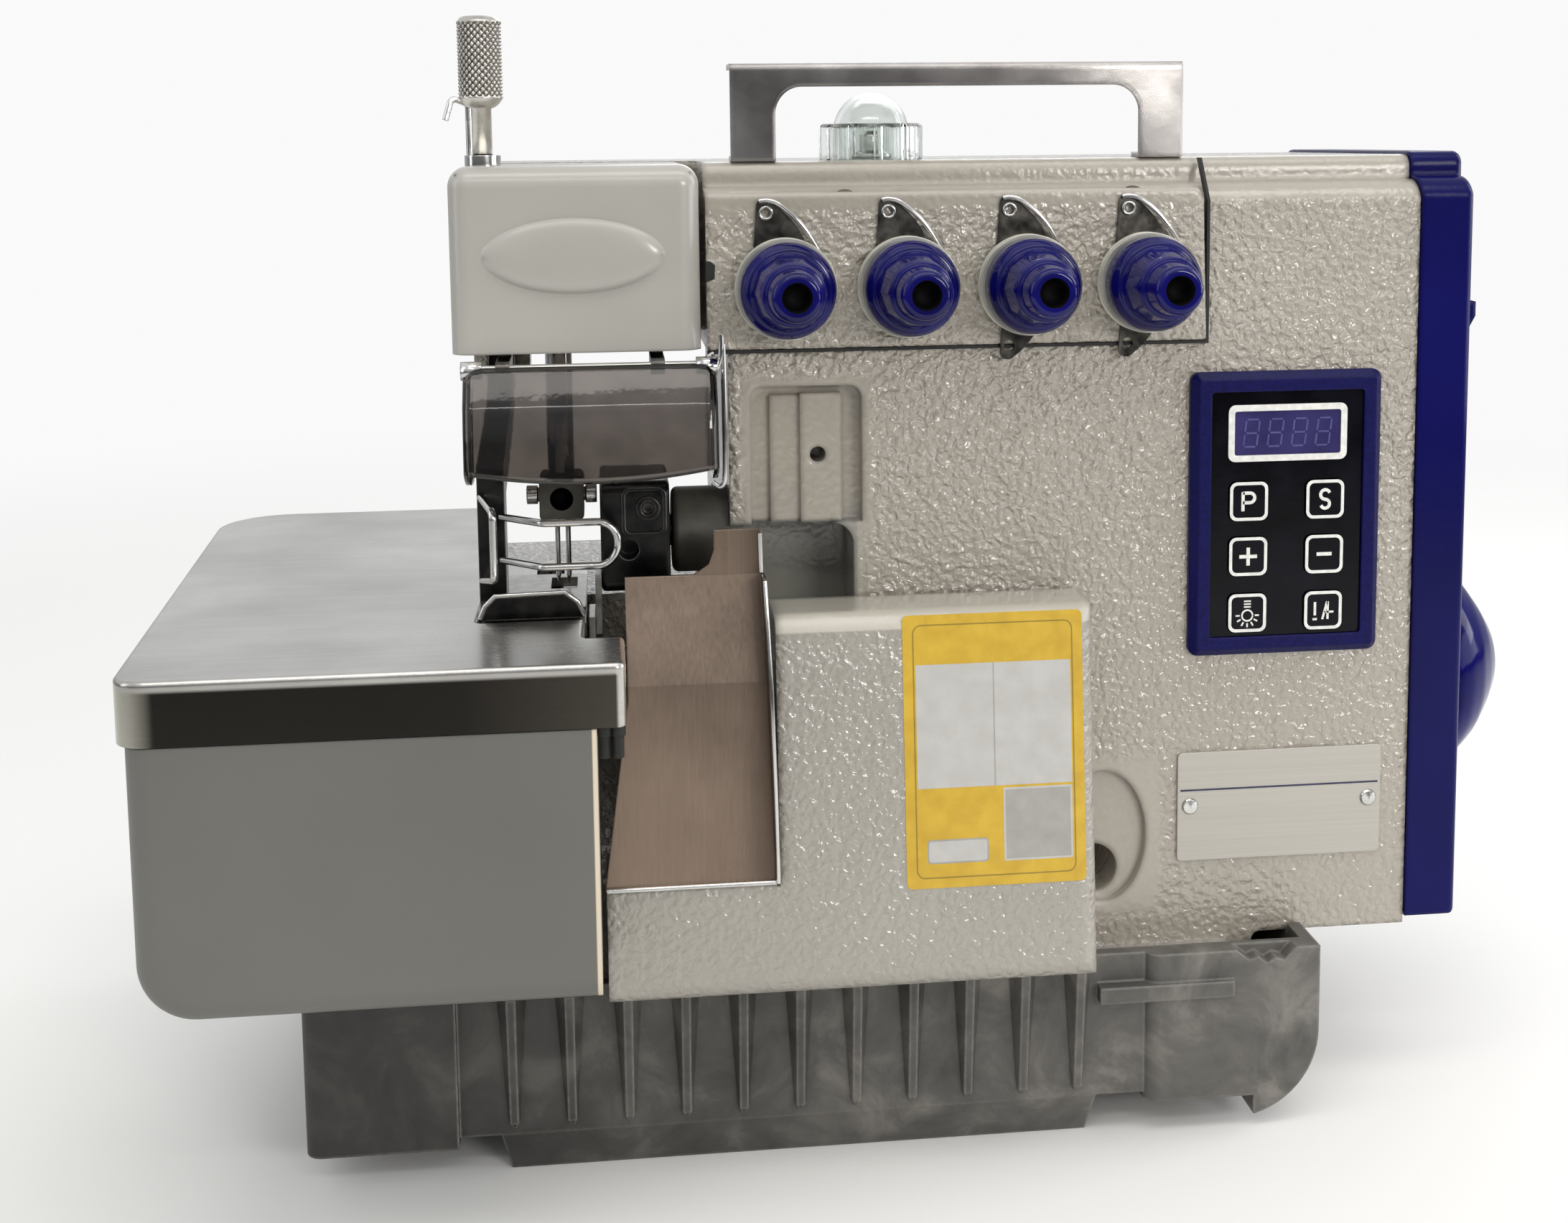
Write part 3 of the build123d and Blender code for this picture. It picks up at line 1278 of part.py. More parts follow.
def make_chute():
    """Folded stainless chute in the looper cover's cut-out, with a tall tab and a turned-up right edge."""
    t = chute_sheet
    pts = [(chute_front_bottom, looper_notch_z), (chute_front_bend, chute_bend_z),
           (chute_front_top, chute_shoulder),
           (chute_front_top, chute_tab_top)]
    outline = pts + [(y + t, z) for y, z in reversed(pts)]
    sheet = prism_x(outline, chute_left_bottom, chute_right_bottom)
    y0, y1 = chute_front_bottom - 1, chute_front_top + t + 1
    left = [(chute_left_bottom - 1, looper_notch_z - 1), (chute_left_bottom, looper_notch_z),
            (chute_left_top, chute_bend_z - 4), (chute_left_top, chute_shoulder), (chute_tab_left - 6,
                                                                                   chute_shoulder),
            (chute_tab_left - 1.5, chute_shoulder + 3), (chute_tab_left, chute_shoulder + 7),
            (chute_tab_left, chute_tab_top + 1), (chute_left_bottom - 1, chute_tab_top + 1)]
    sheet -= prism_y(left, y0, y1)
    right = [(chute_right_bottom + 1, looper_notch_z - 1), (chute_right_bottom, looper_notch_z),
             (chute_right_top, chute_shoulder), (chute_right_top - 1, chute_tab_top + 1),
             (chute_right_bottom + 1, chute_tab_top + 1)]
    sheet -= prism_y(right, y0, y1)
    wall = [(y - chute_wall_reach * k, z) for (y, z), k in zip(pts[:3], (0.35, 0.8, 1.0))]
    flange = prism_x([(y, z) for y, z in pts[:3]] + wall[::-1], chute_right_bottom - 4,
                     chute_right_bottom + 1)
    lean = [(chute_right_bottom - t, looper_notch_z - 1), (chute_right_bottom, looper_notch_z - 1),
            (chute_right_top, chute_shoulder + 1), (chute_right_top - t, chute_shoulder + 1)]
    sheet += flange & prism_y(lean, y0 - chute_wall_reach, y1)
    keep("waste_chute", sheet)


def make_screws():
    """Pan-head screws of the thread bracket and side cover."""
    screws = []
    for x in (bracket_left + bracket_leg / 2, bracket_right - bracket_leg / 2):
        z = frame_top + bracket_sheet
        head = [(0, z), (screw_radius, z), (screw_radius, z + 0.8), (screw_radius * 0.6, z + screw_head),
                (0, z + screw_head)]
        screws.append(revolve_z(head, x, bracket_front + bracket_foot * 0.6))
    x = frame_right + side_gap + side_thickness
    for y in (frame_front + side_screw_inset, frame_back - side_screw_inset):
        for z in (side_bottom + side_screw_inset, frame_top - side_screw_inset - 4):
            head = [(x, 0), (x, screw_radius), (x + 0.8, screw_radius), (x + screw_head, screw_radius * 0.6),
                    (x + screw_head, 0)]
            screws.append(revolve_x(head, y, z))
    keep("cover_screws", *screws)


def main():
    """Build every piece and write one STEP file for each node."""
    for make in (make_base, make_frame, make_tension_cover, make_tension_units, make_thread_bracket,
                 make_oil_sight,
                 make_side_cover, make_drive, make_panel, make_rating_plate, make_head_cover, make_eye_guard,
                 make_needles, make_presser, make_regulator, make_knives, make_needle_plate, make_feed_dog,
                 make_loopers, make_cloth_plate, make_left_cover, make_looper_cover, make_chute, make_screws):
        make()
    os.makedirs(PARTS, exist_ok=True)
    for name, solids in nodes.items():
        shapes = [solid for shape in solids for solid in shape.solids()]
        export_step(Compound(children=shapes) if len(shapes) > 1 else shapes[0], f"{PARTS}/{name}.step")


main()
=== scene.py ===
import bpy
import bmesh
from math import cos, pi, radians, sin
from mathutils import Matrix, Vector


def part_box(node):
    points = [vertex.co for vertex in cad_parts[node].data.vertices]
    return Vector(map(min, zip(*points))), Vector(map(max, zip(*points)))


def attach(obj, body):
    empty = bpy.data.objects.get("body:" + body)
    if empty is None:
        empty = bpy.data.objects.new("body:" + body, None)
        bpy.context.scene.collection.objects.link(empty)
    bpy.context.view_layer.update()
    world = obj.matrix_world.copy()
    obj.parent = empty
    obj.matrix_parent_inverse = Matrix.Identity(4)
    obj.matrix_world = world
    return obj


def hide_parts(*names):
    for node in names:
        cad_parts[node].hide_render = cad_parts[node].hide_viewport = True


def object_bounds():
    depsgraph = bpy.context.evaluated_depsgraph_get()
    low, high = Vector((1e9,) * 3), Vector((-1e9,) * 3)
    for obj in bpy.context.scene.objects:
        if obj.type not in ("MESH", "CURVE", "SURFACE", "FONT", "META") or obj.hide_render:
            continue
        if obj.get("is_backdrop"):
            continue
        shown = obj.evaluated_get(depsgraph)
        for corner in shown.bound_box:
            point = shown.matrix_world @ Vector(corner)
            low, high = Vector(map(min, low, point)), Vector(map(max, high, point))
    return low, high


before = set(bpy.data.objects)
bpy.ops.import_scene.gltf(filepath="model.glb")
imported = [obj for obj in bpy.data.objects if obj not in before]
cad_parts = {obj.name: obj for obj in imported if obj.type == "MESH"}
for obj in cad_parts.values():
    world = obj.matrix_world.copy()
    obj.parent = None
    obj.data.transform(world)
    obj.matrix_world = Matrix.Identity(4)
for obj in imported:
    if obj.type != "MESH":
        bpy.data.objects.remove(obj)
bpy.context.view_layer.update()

# Base casting: the die-cast oil pan that the whole machine is bolted into, with ribs and two foot blocks.
# Aluminium, cast and given a thin dark coat, so it is dull and blotchy; its edges are coloured paler, partly worn
# metal and partly painted highlight.


def linear(code):
    """sRGB hex value as linear red, green, blue and full alpha."""
    channels = [int(code[i:i + 2], 16) / 255 for i in (1, 3, 5)]
    return tuple(c / 12.92 if c <= 0.04045 else ((c + 0.055) / 1.055) ** 2.4 for c in channels) + (1.0,)


def finish(name, **sockets):
    """A new material with its Principled BSDF sockets set; underscores stand for spaces."""
    material = bpy.data.materials.new(name)
    material.use_nodes = True
    surface = material.node_tree.nodes["Principled BSDF"]
    for key, value in sockets.items():
        surface.inputs[key.replace("_", " ")].default_value = value
    return material, material.node_tree, surface


def feed(tree, socket, value):
    """Sets a socket to a value, or links it to another socket or to a node's first output in use."""
    if isinstance(value, bpy.types.Node):
        value = next(output for output in value.outputs if output.enabled)
    if isinstance(value, bpy.types.NodeSocket):
        tree.links.new(value, socket)
    else:
        socket.default_value = value


def add(tree, kind, sockets=None, stops=(), **settings):
    """Adds one shader node: settings are its properties, stops a ramp's tones, sockets what feeds it."""
    node = tree.nodes.new("ShaderNode" + kind)
    for key, value in settings.items():
        setattr(node, key, value)
    for key, value in (sockets or {}).items():
        feed(tree, node.inputs[key], value)
    while stops and len(node.color_ramp.elements) < len(stops):
        node.color_ramp.elements.new(0.5)
    for number, (place, tone) in enumerate(stops):
        element = node.color_ramp.elements[number]
        element.position = place
        element.color = linear(tone) if isinstance(tone, str) else (tone, tone, tone, 1.0)
    return node


def uneven(name, grain, tones, gloss=None, edge=None, skin=None, peel=None, peel_shows=None, **sockets):
    """A finish whose tone, gloss and skin follow one fine unevenness; where peel is given, the skin follows that.

    grain and peel are the width of a spot in mm, or three widths for brushed grain, then the noise's detail,
    roughness and distortion. tones are colour stops. gloss is the lowest and highest roughness and the part of
    the unevenness they span. edge is the rounding of sharp corners in mm, and skin the strength of the bumps and
    their depth in mm. peel_shows is the peel's share in the tone.
    """
    material, tree, surface = finish(name, **sockets)
    place = add(tree, "TexCoord").outputs["Object"]
    heights = []
    for width, *rest in [grain] + ([peel] if peel else []):
        widths = width if isinstance(width, tuple) else (width,)
        scale, spot = 1000 / widths[0], place
        if len(widths) > 1:
            spot = add(tree, "Mapping", {"Vector": place, "Scale": tuple(1000 / w for w in widths)})
            scale = 1.0
        shape = dict(zip(("Detail", "Roughness", "Distortion"), rest))
        heights.append(add(tree, "TexNoise", {"Vector": spot, "Scale": scale, **shape}))
    shown, bumpy = heights[0], heights[-1]
    if peel_shows:
        shown = add(tree, "Math", {0: bumpy, 1: peel_shows, 2: shown}, operation="MULTIPLY_ADD")
    feed(tree, surface.inputs["Base Color"], add(tree, "ValToRGB", {"Fac": shown}, tones))
    if gloss:
        low, high, start, end = gloss if len(gloss) == 4 else gloss + (0.0, 1.0)
        spread = add(tree, "MapRange", {"Value": shown, "From Min": start, "From Max": end,
                                        "To Min": low, "To Max": high})
        feed(tree, surface.inputs["Roughness"], spread)
    if skin:
        bumps = add(tree, "Bump", {"Height": bumpy, "Strength": skin[0], "Distance": skin[1] / 1000})
        if edge:
            # A wide rounding takes more samples to come out smooth.
            rounding = add(tree, "Bevel", {"Radius": edge / 1000}, samples=6 if edge >= 2 else 4)
            feed(tree, bumps.inputs["Normal"], rounding)
        for layer in ("Normal", "Coat Normal") if "Coat_Weight" in sockets else ("Normal",):
            feed(tree, surface.inputs[layer], bumps)
    return material


def overlay(material, mask, tone):
    """Lays another tone over a finish where the mask is 1."""
    tree = material.node_tree
    colour = tree.nodes["Principled BSDF"].inputs["Base Color"]
    tone = linear(tone) if isinstance(tone, str) else tone
    mixed = add(tree, "Mix", {"Factor": mask, "A": colour.links[0].from_socket, "B": tone}, data_type="RGBA")
    feed(tree, colour, mixed)


def sharp_edge_mask(tree, reach):
    """Mask that is 1 on edges sharper than the reach in mm and 0 on flat faces."""
    round_normal = add(tree, "Bevel", {"Radius": reach / 1000}, samples=4)
    sharp_normal = add(tree, "NewGeometry").outputs["True Normal"]
    same = add(tree, "VectorMath", {0: round_normal, 1: sharp_normal}, operation="DOT_PRODUCT")
    return add(tree, "MapRange", {"Value": same, "From Min": 0.995, "From Max": 0.9})


def coat(material, *node_names):
    """Gives carried-over solids their material."""
    for node_name in node_names:
        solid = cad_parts[node_name]
        solid.data.materials.clear()
        solid.data.materials.append(material)
        for slot in solid.material_slots:
            slot.material = material


def span(build, a, b):
    """Faces between two closed rows of points, of which one may be a single tip."""
    count = max(len(a), len(b))
    for k in range(count):
        n = (k + 1) % count
        corners = list(dict.fromkeys([a[k % len(a)], a[n % len(a)], b[n % len(b)], b[k % len(b)]]))
        if len(corners) > 2:
            build.faces.new(corners)


def set_down(name, mesh, materials, smooth=None):
    """A new piece from a mesh, with its materials and, if smooth is given, its shading."""
    mesh.name = name
    for material in materials:
        mesh.materials.append(material)
    if smooth is not None:
        for face in mesh.polygons:
            face.use_smooth = smooth
    piece = bpy.data.objects.new(name, mesh)
    bpy.context.collection.objects.link(piece)
    return piece


def built(name, build, materials, smooth=None):
    """A new piece from built faces, which are turned outward too if smooth is given."""
    if smooth is not None:
        bmesh.ops.recalc_face_normals(build, faces=build.faces[:])
    mesh = bpy.data.meshes.new(name)
    build.to_mesh(mesh)
    build.free()
    return set_down(name, mesh, materials, smooth)


# Stains from the mould and handling are 10 to 30 mm across, and the grit of the cast skin is 2 mm.
stain_width, grit_width = 23.8, 2.38
cast = uneven("die_cast_aluminium_dark_coat", (stain_width, 5.0, 0.62, 0.6),
              [(0.30, "#33322F"), (0.50, "#464441"), (0.68, "#605D58")], gloss=(0.44, 0.66, 0.3, 0.7), edge=1.2,
              skin=(0.22, 0.4), peel=(grit_width, 3.0), Roughness=0.55, Metallic=0.15, IOR=1.5)
tree = cast.node_tree
colour = tree.nodes["Principled BSDF"].inputs["Base Color"]
place = add(tree, "TexCoord").outputs["Object"]
# Painted light: the coat is coloured paler toward the right end, where the light from the right falls on it.
along = add(tree, "SeparateXYZ", {"Vector": place}).outputs["X"]
right_end_light_ramp = add(tree, "MapRange", {"Value": along, "From Min": -0.155, "From Max": 0.145,
                                 "To Min": 0.5, "To Max": 2.1})
right_end_painted_light = add(tree, "VectorMath", {0: colour.links[0].from_socket, "Scale": right_end_light_ramp}, operation="SCALE")
feed(tree, colour, right_end_painted_light)
# Edges are coloured paler in grainy patches: partly worn metal, partly a painted highlight along the edges.
grit = add(tree, "TexNoise", {"Vector": place, "Scale": 1000 / grit_width, "Detail": 3.0})
edge_wear_and_highlight = add(tree, "Math", {0: sharp_edge_mask(tree, 1.2), 1: grit}, operation="MULTIPLY")
overlay(cast, edge_wear_and_highlight, "#A5A29B")
coat(cast, "base_casting")

# The ribs have draft, so each widens into the wall and runs up under the covers.
front_wall, first_rib, rib_pitch = -76.0, -96.8, 17.05
build = bmesh.new()
for number in range(11):
    middle = first_rib + rib_pitch * number
    levels = []
    for z, reach, crest, root in ((56.4, 6.2, 1.3, 4.8), (48.0, 5.3, 1.25, 4.1), (16.2, 1.9, 1.2, 2.0),
                                  (14.0, 0.2, 0.5, 0.8)):
        levels.append([build.verts.new((x / 1000, y / 1000, z / 1000)) for x, y in (
            (middle - root, front_wall + 0.4), (middle - crest, front_wall - reach),
            (middle + crest, front_wall - reach), (middle + root, front_wall + 0.4))])
    for a, b in zip(levels, levels[1:]):
        span(build, a, b)
    build.faces.new(levels[0][::-1])
    build.faces.new(levels[-1])
rib_drafts = built("casting_rib_drafts", build, [cast], False)
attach(rib_drafts, "frame")

# Machine frame: one casting that holds the drive, with the arm over the needles and the bed under them.
# Cast iron under thick hammer-finish enamel, which leaves shiny ripples 2 to 3 mm apart, smooth where masked.


def ripple_height(tree, place, ripple):
    """Height of hammer-finish enamel: short winding ridges one ripple apart, in mm."""
    ripple = ripple / 1000
    wander = add(tree, "TexNoise", {"Vector": place, "Scale": 0.6 / ripple, "Detail": 1.0})
    drift = add(tree, "VectorMath", {0: wander.outputs["Color"], 1: (ripple * 1.1,) * 3}, operation="MULTIPLY")
    moved = add(tree, "VectorMath", {0: place, 1: drift}, operation="ADD")
    cells = add(tree, "TexVoronoi", {"Vector": moved, "Scale": 1.0 / ripple, "Smoothness": 0.75},
                feature="SMOOTH_F1")
    waves = add(tree, "TexNoise", {"Vector": moved, "Scale": 1.35 / ripple, "Detail": 1.5, "Roughness": 0.4})
    return add(tree, "Math", {0: cells, 1: 0.9, 2: waves}, operation="MULTIPLY_ADD")


def inside(tree, boxes, soft):
    """Mask that is 1 inside any of the boxes given in mm and fades out over soft mm."""
    parts = add(tree, "SeparateXYZ", {"Vector": add(tree, "TexCoord").outputs["Object"]})
    total = 0.0
    for low, high in boxes:
        within = 1.0
        for axis, a, b in zip("XYZ", low, high):
            half = (b - a) / 2000
            middle = add(tree, "Math", {0: parts.outputs[axis], 1: (a + b) / 2000}, operation="SUBTRACT")
            away = add(tree, "Math", {0: middle}, operation="ABSOLUTE")
            near = add(tree, "MapRange", {"Value": away, "From Min": half, "From Max": half + soft / 1000,
                                          "To Min": 1.0, "To Max": 0.0})
            within = add(tree, "Math", {0: within, 1: near}, operation="MULTIPLY")
        total = add(tree, "Math", {0: total, 1: within}, operation="MAXIMUM")
    return total


def hammer_enamel(name, relief, smooth_boxes, tones=("#9F988C", "#AAA296"), shade_and_highlight_boxes=(), shade_and_highlight_tone="#8C8A81",
                  edge=2.2):
    """Hammer-finish enamel with ripples relief mm deep, boxes in mm where it is smooth, and boxes painted another
    tone as painted shade and highlight.
    """
    enamel, tree, surface = finish(name, Roughness=0.3, IOR=1.5, Coat_Weight=1.0, Coat_Roughness=0.07)
    place = add(tree, "TexCoord").outputs["Object"]
    pigment_width, ripple = 111, 2.3
    drift = add(tree, "TexNoise", {"Vector": place, "Scale": 1000 / pigment_width, "Detail": 2.0})
    tone = add(tree, "ValToRGB", {"Fac": drift}, [(0.3, tones[0]), (0.7, tones[1])])
    feed(tree, surface.inputs["Base Color"], tone)
    height = ripple_height(tree, place, ripple)
    # Pigment gathers in the hollows between ripples.
    hollow = add(tree, "MapRange", {"Value": height, "From Min": 0.55, "From Max": 1.15, "To Max": 0.16})
    overlay(enamel, hollow, "#8E887E")
    # Boxes painted another tone stand in for light: a darker tone is painted shade, a paler one a painted
    # highlight.
    if shade_and_highlight_boxes:
        overlay(enamel, inside(tree, shade_and_highlight_boxes, 0.6), shade_and_highlight_tone)
    # The paint lies thicker in some areas and so ripples more, and it settles flatter low down.
    thickness = add(tree, "MapRange", {"Value": drift, "From Min": 0.35, "From Max": 0.65, "To Min": 0.7})
    level = add(tree, "SeparateXYZ", {"Vector": place}).outputs["Z"]
    settled = add(tree, "MapRange", {"Value": level, "From Min": 0.07, "From Max": 0.21, "To Min": 0.48})
    calm = inside(tree, smooth_boxes, 3.0)
    strength = add(tree, "MapRange", {"Value": calm, "To Min": 1.0, "To Max": 0.1})
    for share in (thickness, settled):
        strength = add(tree, "Math", {0: strength, 1: share}, operation="MULTIPLY")
    rounding = add(tree, "Bevel", {"Radius": edge / 1000}, samples=6)
    ripples = add(tree, "Bump", {"Height": height, "Strength": strength, "Distance": relief / 1000,
                                 "Normal": rounding})
    for layer in ("Normal", "Coat Normal"):
        feed(tree, surface.inputs[layer], ripples)
    return enamel


pocket = ((-24, -62, 189), (12.5, -50, 233.5))
crown = ((-120, -62, 286.5), (190, -48, 300))
port = ((74, -62, 64), (102, -50, 111))
under_pocket = ((-31, -62, 140), (9, -30, 190.8))
# The cleft under the pocket is painted a darker tone, as painted shade.
coat(hammer_enamel("hammer_enamel_on_cast_iron", 1.5, [pocket, crown, port, under_pocket],
                   shade_and_highlight_boxes=[under_pocket], edge=3.0), "machine_frame")

# Side cover: the deep cap over the built-in motor at the right end, held by four screws.
# Cast aluminium with smooth blue gloss enamel and faint orange peel; its long rounded edges catch the light.

coat(uneven("blue_gloss_enamel", (71.4, 2.0), [(0.3, "#0C0C46"), (0.7, "#131358")], edge=2.0,
            skin=(0.12, 0.2), peel=(1.54, 1.0), Roughness=0.16, IOR=1.5, Coat_Weight=0.08, Coat_Roughness=0.08,
            Specular_IOR_Level=0.09), "side_cover")

# Built-in motor and main shaft: the motor sits inside the frame's right end and turns the shaft directly.
# Turned and ground steel, bare and lightly scuffed, like the loopers and knives.

turned = uneven("turned_steel", (3.85, 3.0), [(0.3, "#8F8D88"), (0.7, "#B4B2AD")], gloss=(0.24, 0.44), edge=0.4,
                skin=(0.08, 0.2), Roughness=0.32, Metallic=1.0)
coat(turned, "main_shaft", "motor", "presser_shaft", "plate_hinge_post", "looper_rod", "looper_rod_brackets",
     "lower_looper", "upper_looper", "upper_knife", "lower_knife")

# Handwheel: domed wheel pushed on the shaft's end, turned by hand to bring the needles up.
# Moulded blue plastic with a high gloss and slight sinks; the wheel itself reflects less of the room.


def lathe(name, profile, steps, axis, centre, materials, shape=None):
    """Turned piece from (along, radius) points in mm about an axis through centre; shape may alter the radius."""
    spin = {"X": Matrix.Rotation(radians(90), 3, "Y"), "Y": Matrix.Rotation(radians(90), 3, "X"),
            "Z": Matrix.Identity(3)}[axis]
    build = bmesh.new()
    rings = []
    for along, radius in profile:
        ring = []
        for k in range(steps if radius > 1e-6 else 1):
            turn = 2 * pi * k / steps
            r = shape(radius, along, turn) if shape else radius
            spot = spin @ Vector((r * cos(turn), r * sin(turn), along)) + Vector(centre)
            ring.append(build.verts.new(spot / 1000))
        rings.append(ring)
    for a, b in zip(rings, rings[1:]):
        span(build, a, b)
    return built(name, build, materials, True)


def rounded(points, reach, steps=4):
    """Profile with each inner corner rounded over reach mm."""
    result = [points[0]]
    for before, here, after in zip(points, points[1:], points[2:]):
        p, a, b = Vector(here), Vector(before) - Vector(here), Vector(after) - Vector(here)
        r = min(reach, a.length * 0.45, b.length * 0.45)
        start, end = p + a.normalized() * r, p + b.normalized() * r
        for k in range(steps + 1):
            t = k / steps
            result.append(tuple((1 - t) ** 2 * start + 2 * t * (1 - t) * p + t * t * end))
    return result + [points[-1]]


blue_plastic = uneven("moulded_blue_plastic", (16.7, 3.0), [(0.3, "#090842"), (0.7, "#0E0C5E")],
                      gloss=(0.05, 0.14), skin=(0.1, 0.4), Roughness=0.2, IOR=1.5, Specular_IOR_Level=0.3)
wheel_plastic = blue_plastic.copy()
wheel_plastic.name = "moulded_blue_plastic_wheel"
wheel_plastic.node_tree.nodes["Principled BSDF"].inputs["Specular IOR Level"].default_value = 0.07

shaft_z = 124
low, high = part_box("handwheel")
start, end = low.x * 1000, high.x * 1000
wheel_radius = (high.z - low.z) * 500
wheel = rounded([(start, 7.4), (start, 34.0), (start, wheel_radius), (start + 9.6, wheel_radius),
                 (start + 15.8, wheel_radius - 3.4), (start + 22.0, wheel_radius - 8.6),
                 (end - 8.0, wheel_radius - 16.2), (end - 2.6, wheel_radius - 24.4), (end, wheel_radius - 33.0),
                 (end, 0.0)], 2.5)
handwheel = lathe("handwheel_dome", wheel, 96, "X", (0, 0, shaft_z), [wheel_plastic])
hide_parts("handwheel")
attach(handwheel, "handwheel")

# Tension cover and units: a flat plate over the thread tensioners, four posts with discs, guides and knobs.
# The plate has the frame's enamel; discs are nickel-plated cream-tinted steel, guides dark polished steel.

tension_smooth = ((-40, -66, 285.5), (120, -50, 300))
coat(hammer_enamel("hammer_enamel_on_cover_plate", 1.3, [tension_smooth]), "tension_cover_plate")
# Rubber, and the strips of painted shadow by the tension cover, are dull black; phosphated steel is mottled grey,
# and the bent wires shine with chrome.
rubber_and_shadow_black = uneven("matte_black_for_rubber_and_shadow", (3.33, 3.0), [(0.3, "#0B0B0B"), (0.8, "#1D1C1A")], Roughness=0.65)
bush_grey = uneven("dark_grey_phosphate", (7.69, 4.0), [(0.3, "#47443D"), (0.7, "#5C5951")], edge=0.6,
                   skin=(0.15, 0.3), Roughness=0.5, Metallic=0.3)
coat(uneven("nickel_plated_disc", (5.56, 3.0), [(0.3, "#CFCDC0"), (0.7, "#E0DED2")], edge=0.4,
            skin=(0.06, 0.2), Roughness=0.3, Metallic=0.4), "tension_discs")
coat(uneven("dark_polished_steel", (4.17, 4.0), [(0.3, "#3B3936"), (0.7, "#6B6863")], gloss=(0.14, 0.36),
            edge=0.3, skin=(0.05, 0.2), Roughness=0.22, Metallic=1.0),
     "upper_thread_guides", "lower_thread_guides", "feed_dog", "guard_bracket", "tension_posts")
bright_chrome = uneven("bright_chrome_plate", (14.3, 5.0), [(0.3, "#BEBDBA"), (0.7, "#DCDBD8")],
                       gloss=(0.05, 0.2, 0.3, 0.7), edge=0.4, skin=(0.05, 0.3), Roughness=0.09, Metallic=1.0)


def mesh_of(curve):
    """The faces of a curve as a bare mesh."""
    source = bpy.data.objects.new(curve.name, curve)
    bpy.context.collection.objects.link(source)
    mesh = bpy.data.meshes.new_from_object(source.evaluated_get(bpy.context.evaluated_depsgraph_get()))
    bpy.data.objects.remove(source)
    mesh.materials.clear()
    return mesh


def slab(name, outline, holes, y, thick, material, lean=None):
    """Thin flat piece facing the operator from closed X, Z outlines in mm; lean gives how far points lie back."""
    curve = bpy.data.curves.new(name, "CURVE")
    curve.dimensions = "2D"
    curve.fill_mode = "BOTH"
    curve.extrude = thick / 2000
    for loop in [outline] + holes:
        line = curve.splines.new("POLY")
        line.points.add(len(loop) - 1)
        for point, (px, pz) in zip(line.points, loop):
            point.co = (px / 1000, pz / 1000, 0, 1)
        line.use_cyclic_u = True
    mesh = mesh_of(curve)
    for vertex in mesh.vertices:
        px, pz, depth = vertex.co
        back = lean(px * 1000, pz * 1000) / 1000 if lean else 0.0
        vertex.co = (px, y / 1000 - depth + back, pz)
    return set_down(name, mesh, [material])


def wire(name, points, radius, material, closed=False, smooth=True):
    """Round wire through points in mm, as a mesh."""
    curve = bpy.data.curves.new(name, "CURVE")
    curve.dimensions = "3D"
    curve.bevel_depth = radius / 1000
    curve.bevel_resolution = 4
    curve.use_fill_caps = True
    line = curve.splines.new("NURBS" if smooth else "POLY")
    line.points.add(len(points) - 1)
    for point, place in zip(line.points, points):
        point.co = [v / 1000 for v in place] + [1.0]
    line.use_cyclic_u = closed
    if smooth:
        line.order_u = 3
        line.use_endpoint_u = not closed
        line.resolution_u = 8
    return set_down(name, mesh_of(curve), [material], True)


def join(name, pieces):
    """One piece from several, keeping their materials."""
    build = bmesh.new()
    materials = []
    for piece in pieces:
        slots = []
        for material in piece.data.materials:
            if material not in materials:
                materials.append(material)
            slots.append(materials.index(material))
        first = len(build.faces)
        build.from_mesh(piece.data)
        build.faces.ensure_lookup_table()
        for face in build.faces[first:]:
            face.material_index = slots[face.material_index]
        bpy.data.objects.remove(piece)
    return built(name, build, materials)


tension_x = [-12.0 + 36.2 * i for i in range(4)]
tension_z, guide_y = 261.5, -64.6
rims = []
for x in tension_x:
    # A bright wire bow runs from the guide's tip down to the disc on the right, past a small eye.
    bow = [(x - 7.4, guide_y, tension_z + 25.6), (x - 4.2, guide_y - 0.4, tension_z + 26.6),
           (x + 2.6, guide_y - 1.0, tension_z + 21.6), (x + 8.2, guide_y - 1.0, tension_z + 14.4),
           (x + 11.4, guide_y - 0.6, tension_z + 8.0)]
    rims.append(wire("bow", bow, 0.75, bright_chrome))
    eye = [(x - 5.4 + 1.9 * cos(t * pi / 4), guide_y, tension_z + 22.2 + 1.9 * sin(t * pi / 4)) for t in range(8)]
    rims.append(wire("eye", eye, 0.42, bright_chrome, closed=True))
guide_rims = join("upper_guide_rims", rims)
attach(guide_rims, "frame")

# The insides of the knob bores and the clamp's screw socket are lined near-black, as painted shade for the dark
# depth of the holes.
bore_painted_shade = uneven("painted_shade_in_bores", (1.11,), [(0.4, "#020203"), (0.8, "#09090A")], Roughness=0.6,
                   Specular_IOR_Level=0.1)


def knob_grip(radius, along, turn):
    """Ten shallow flats round the knob's middle part."""
    if knob_back + 10.5 < along < knob_back + 20.5:
        flat = abs(((turn * 10 / (2 * pi)) % 1.0) - 0.5) * 2
        return radius * (1.0 - 0.022 * (1 - flat ** 2))
    return radius


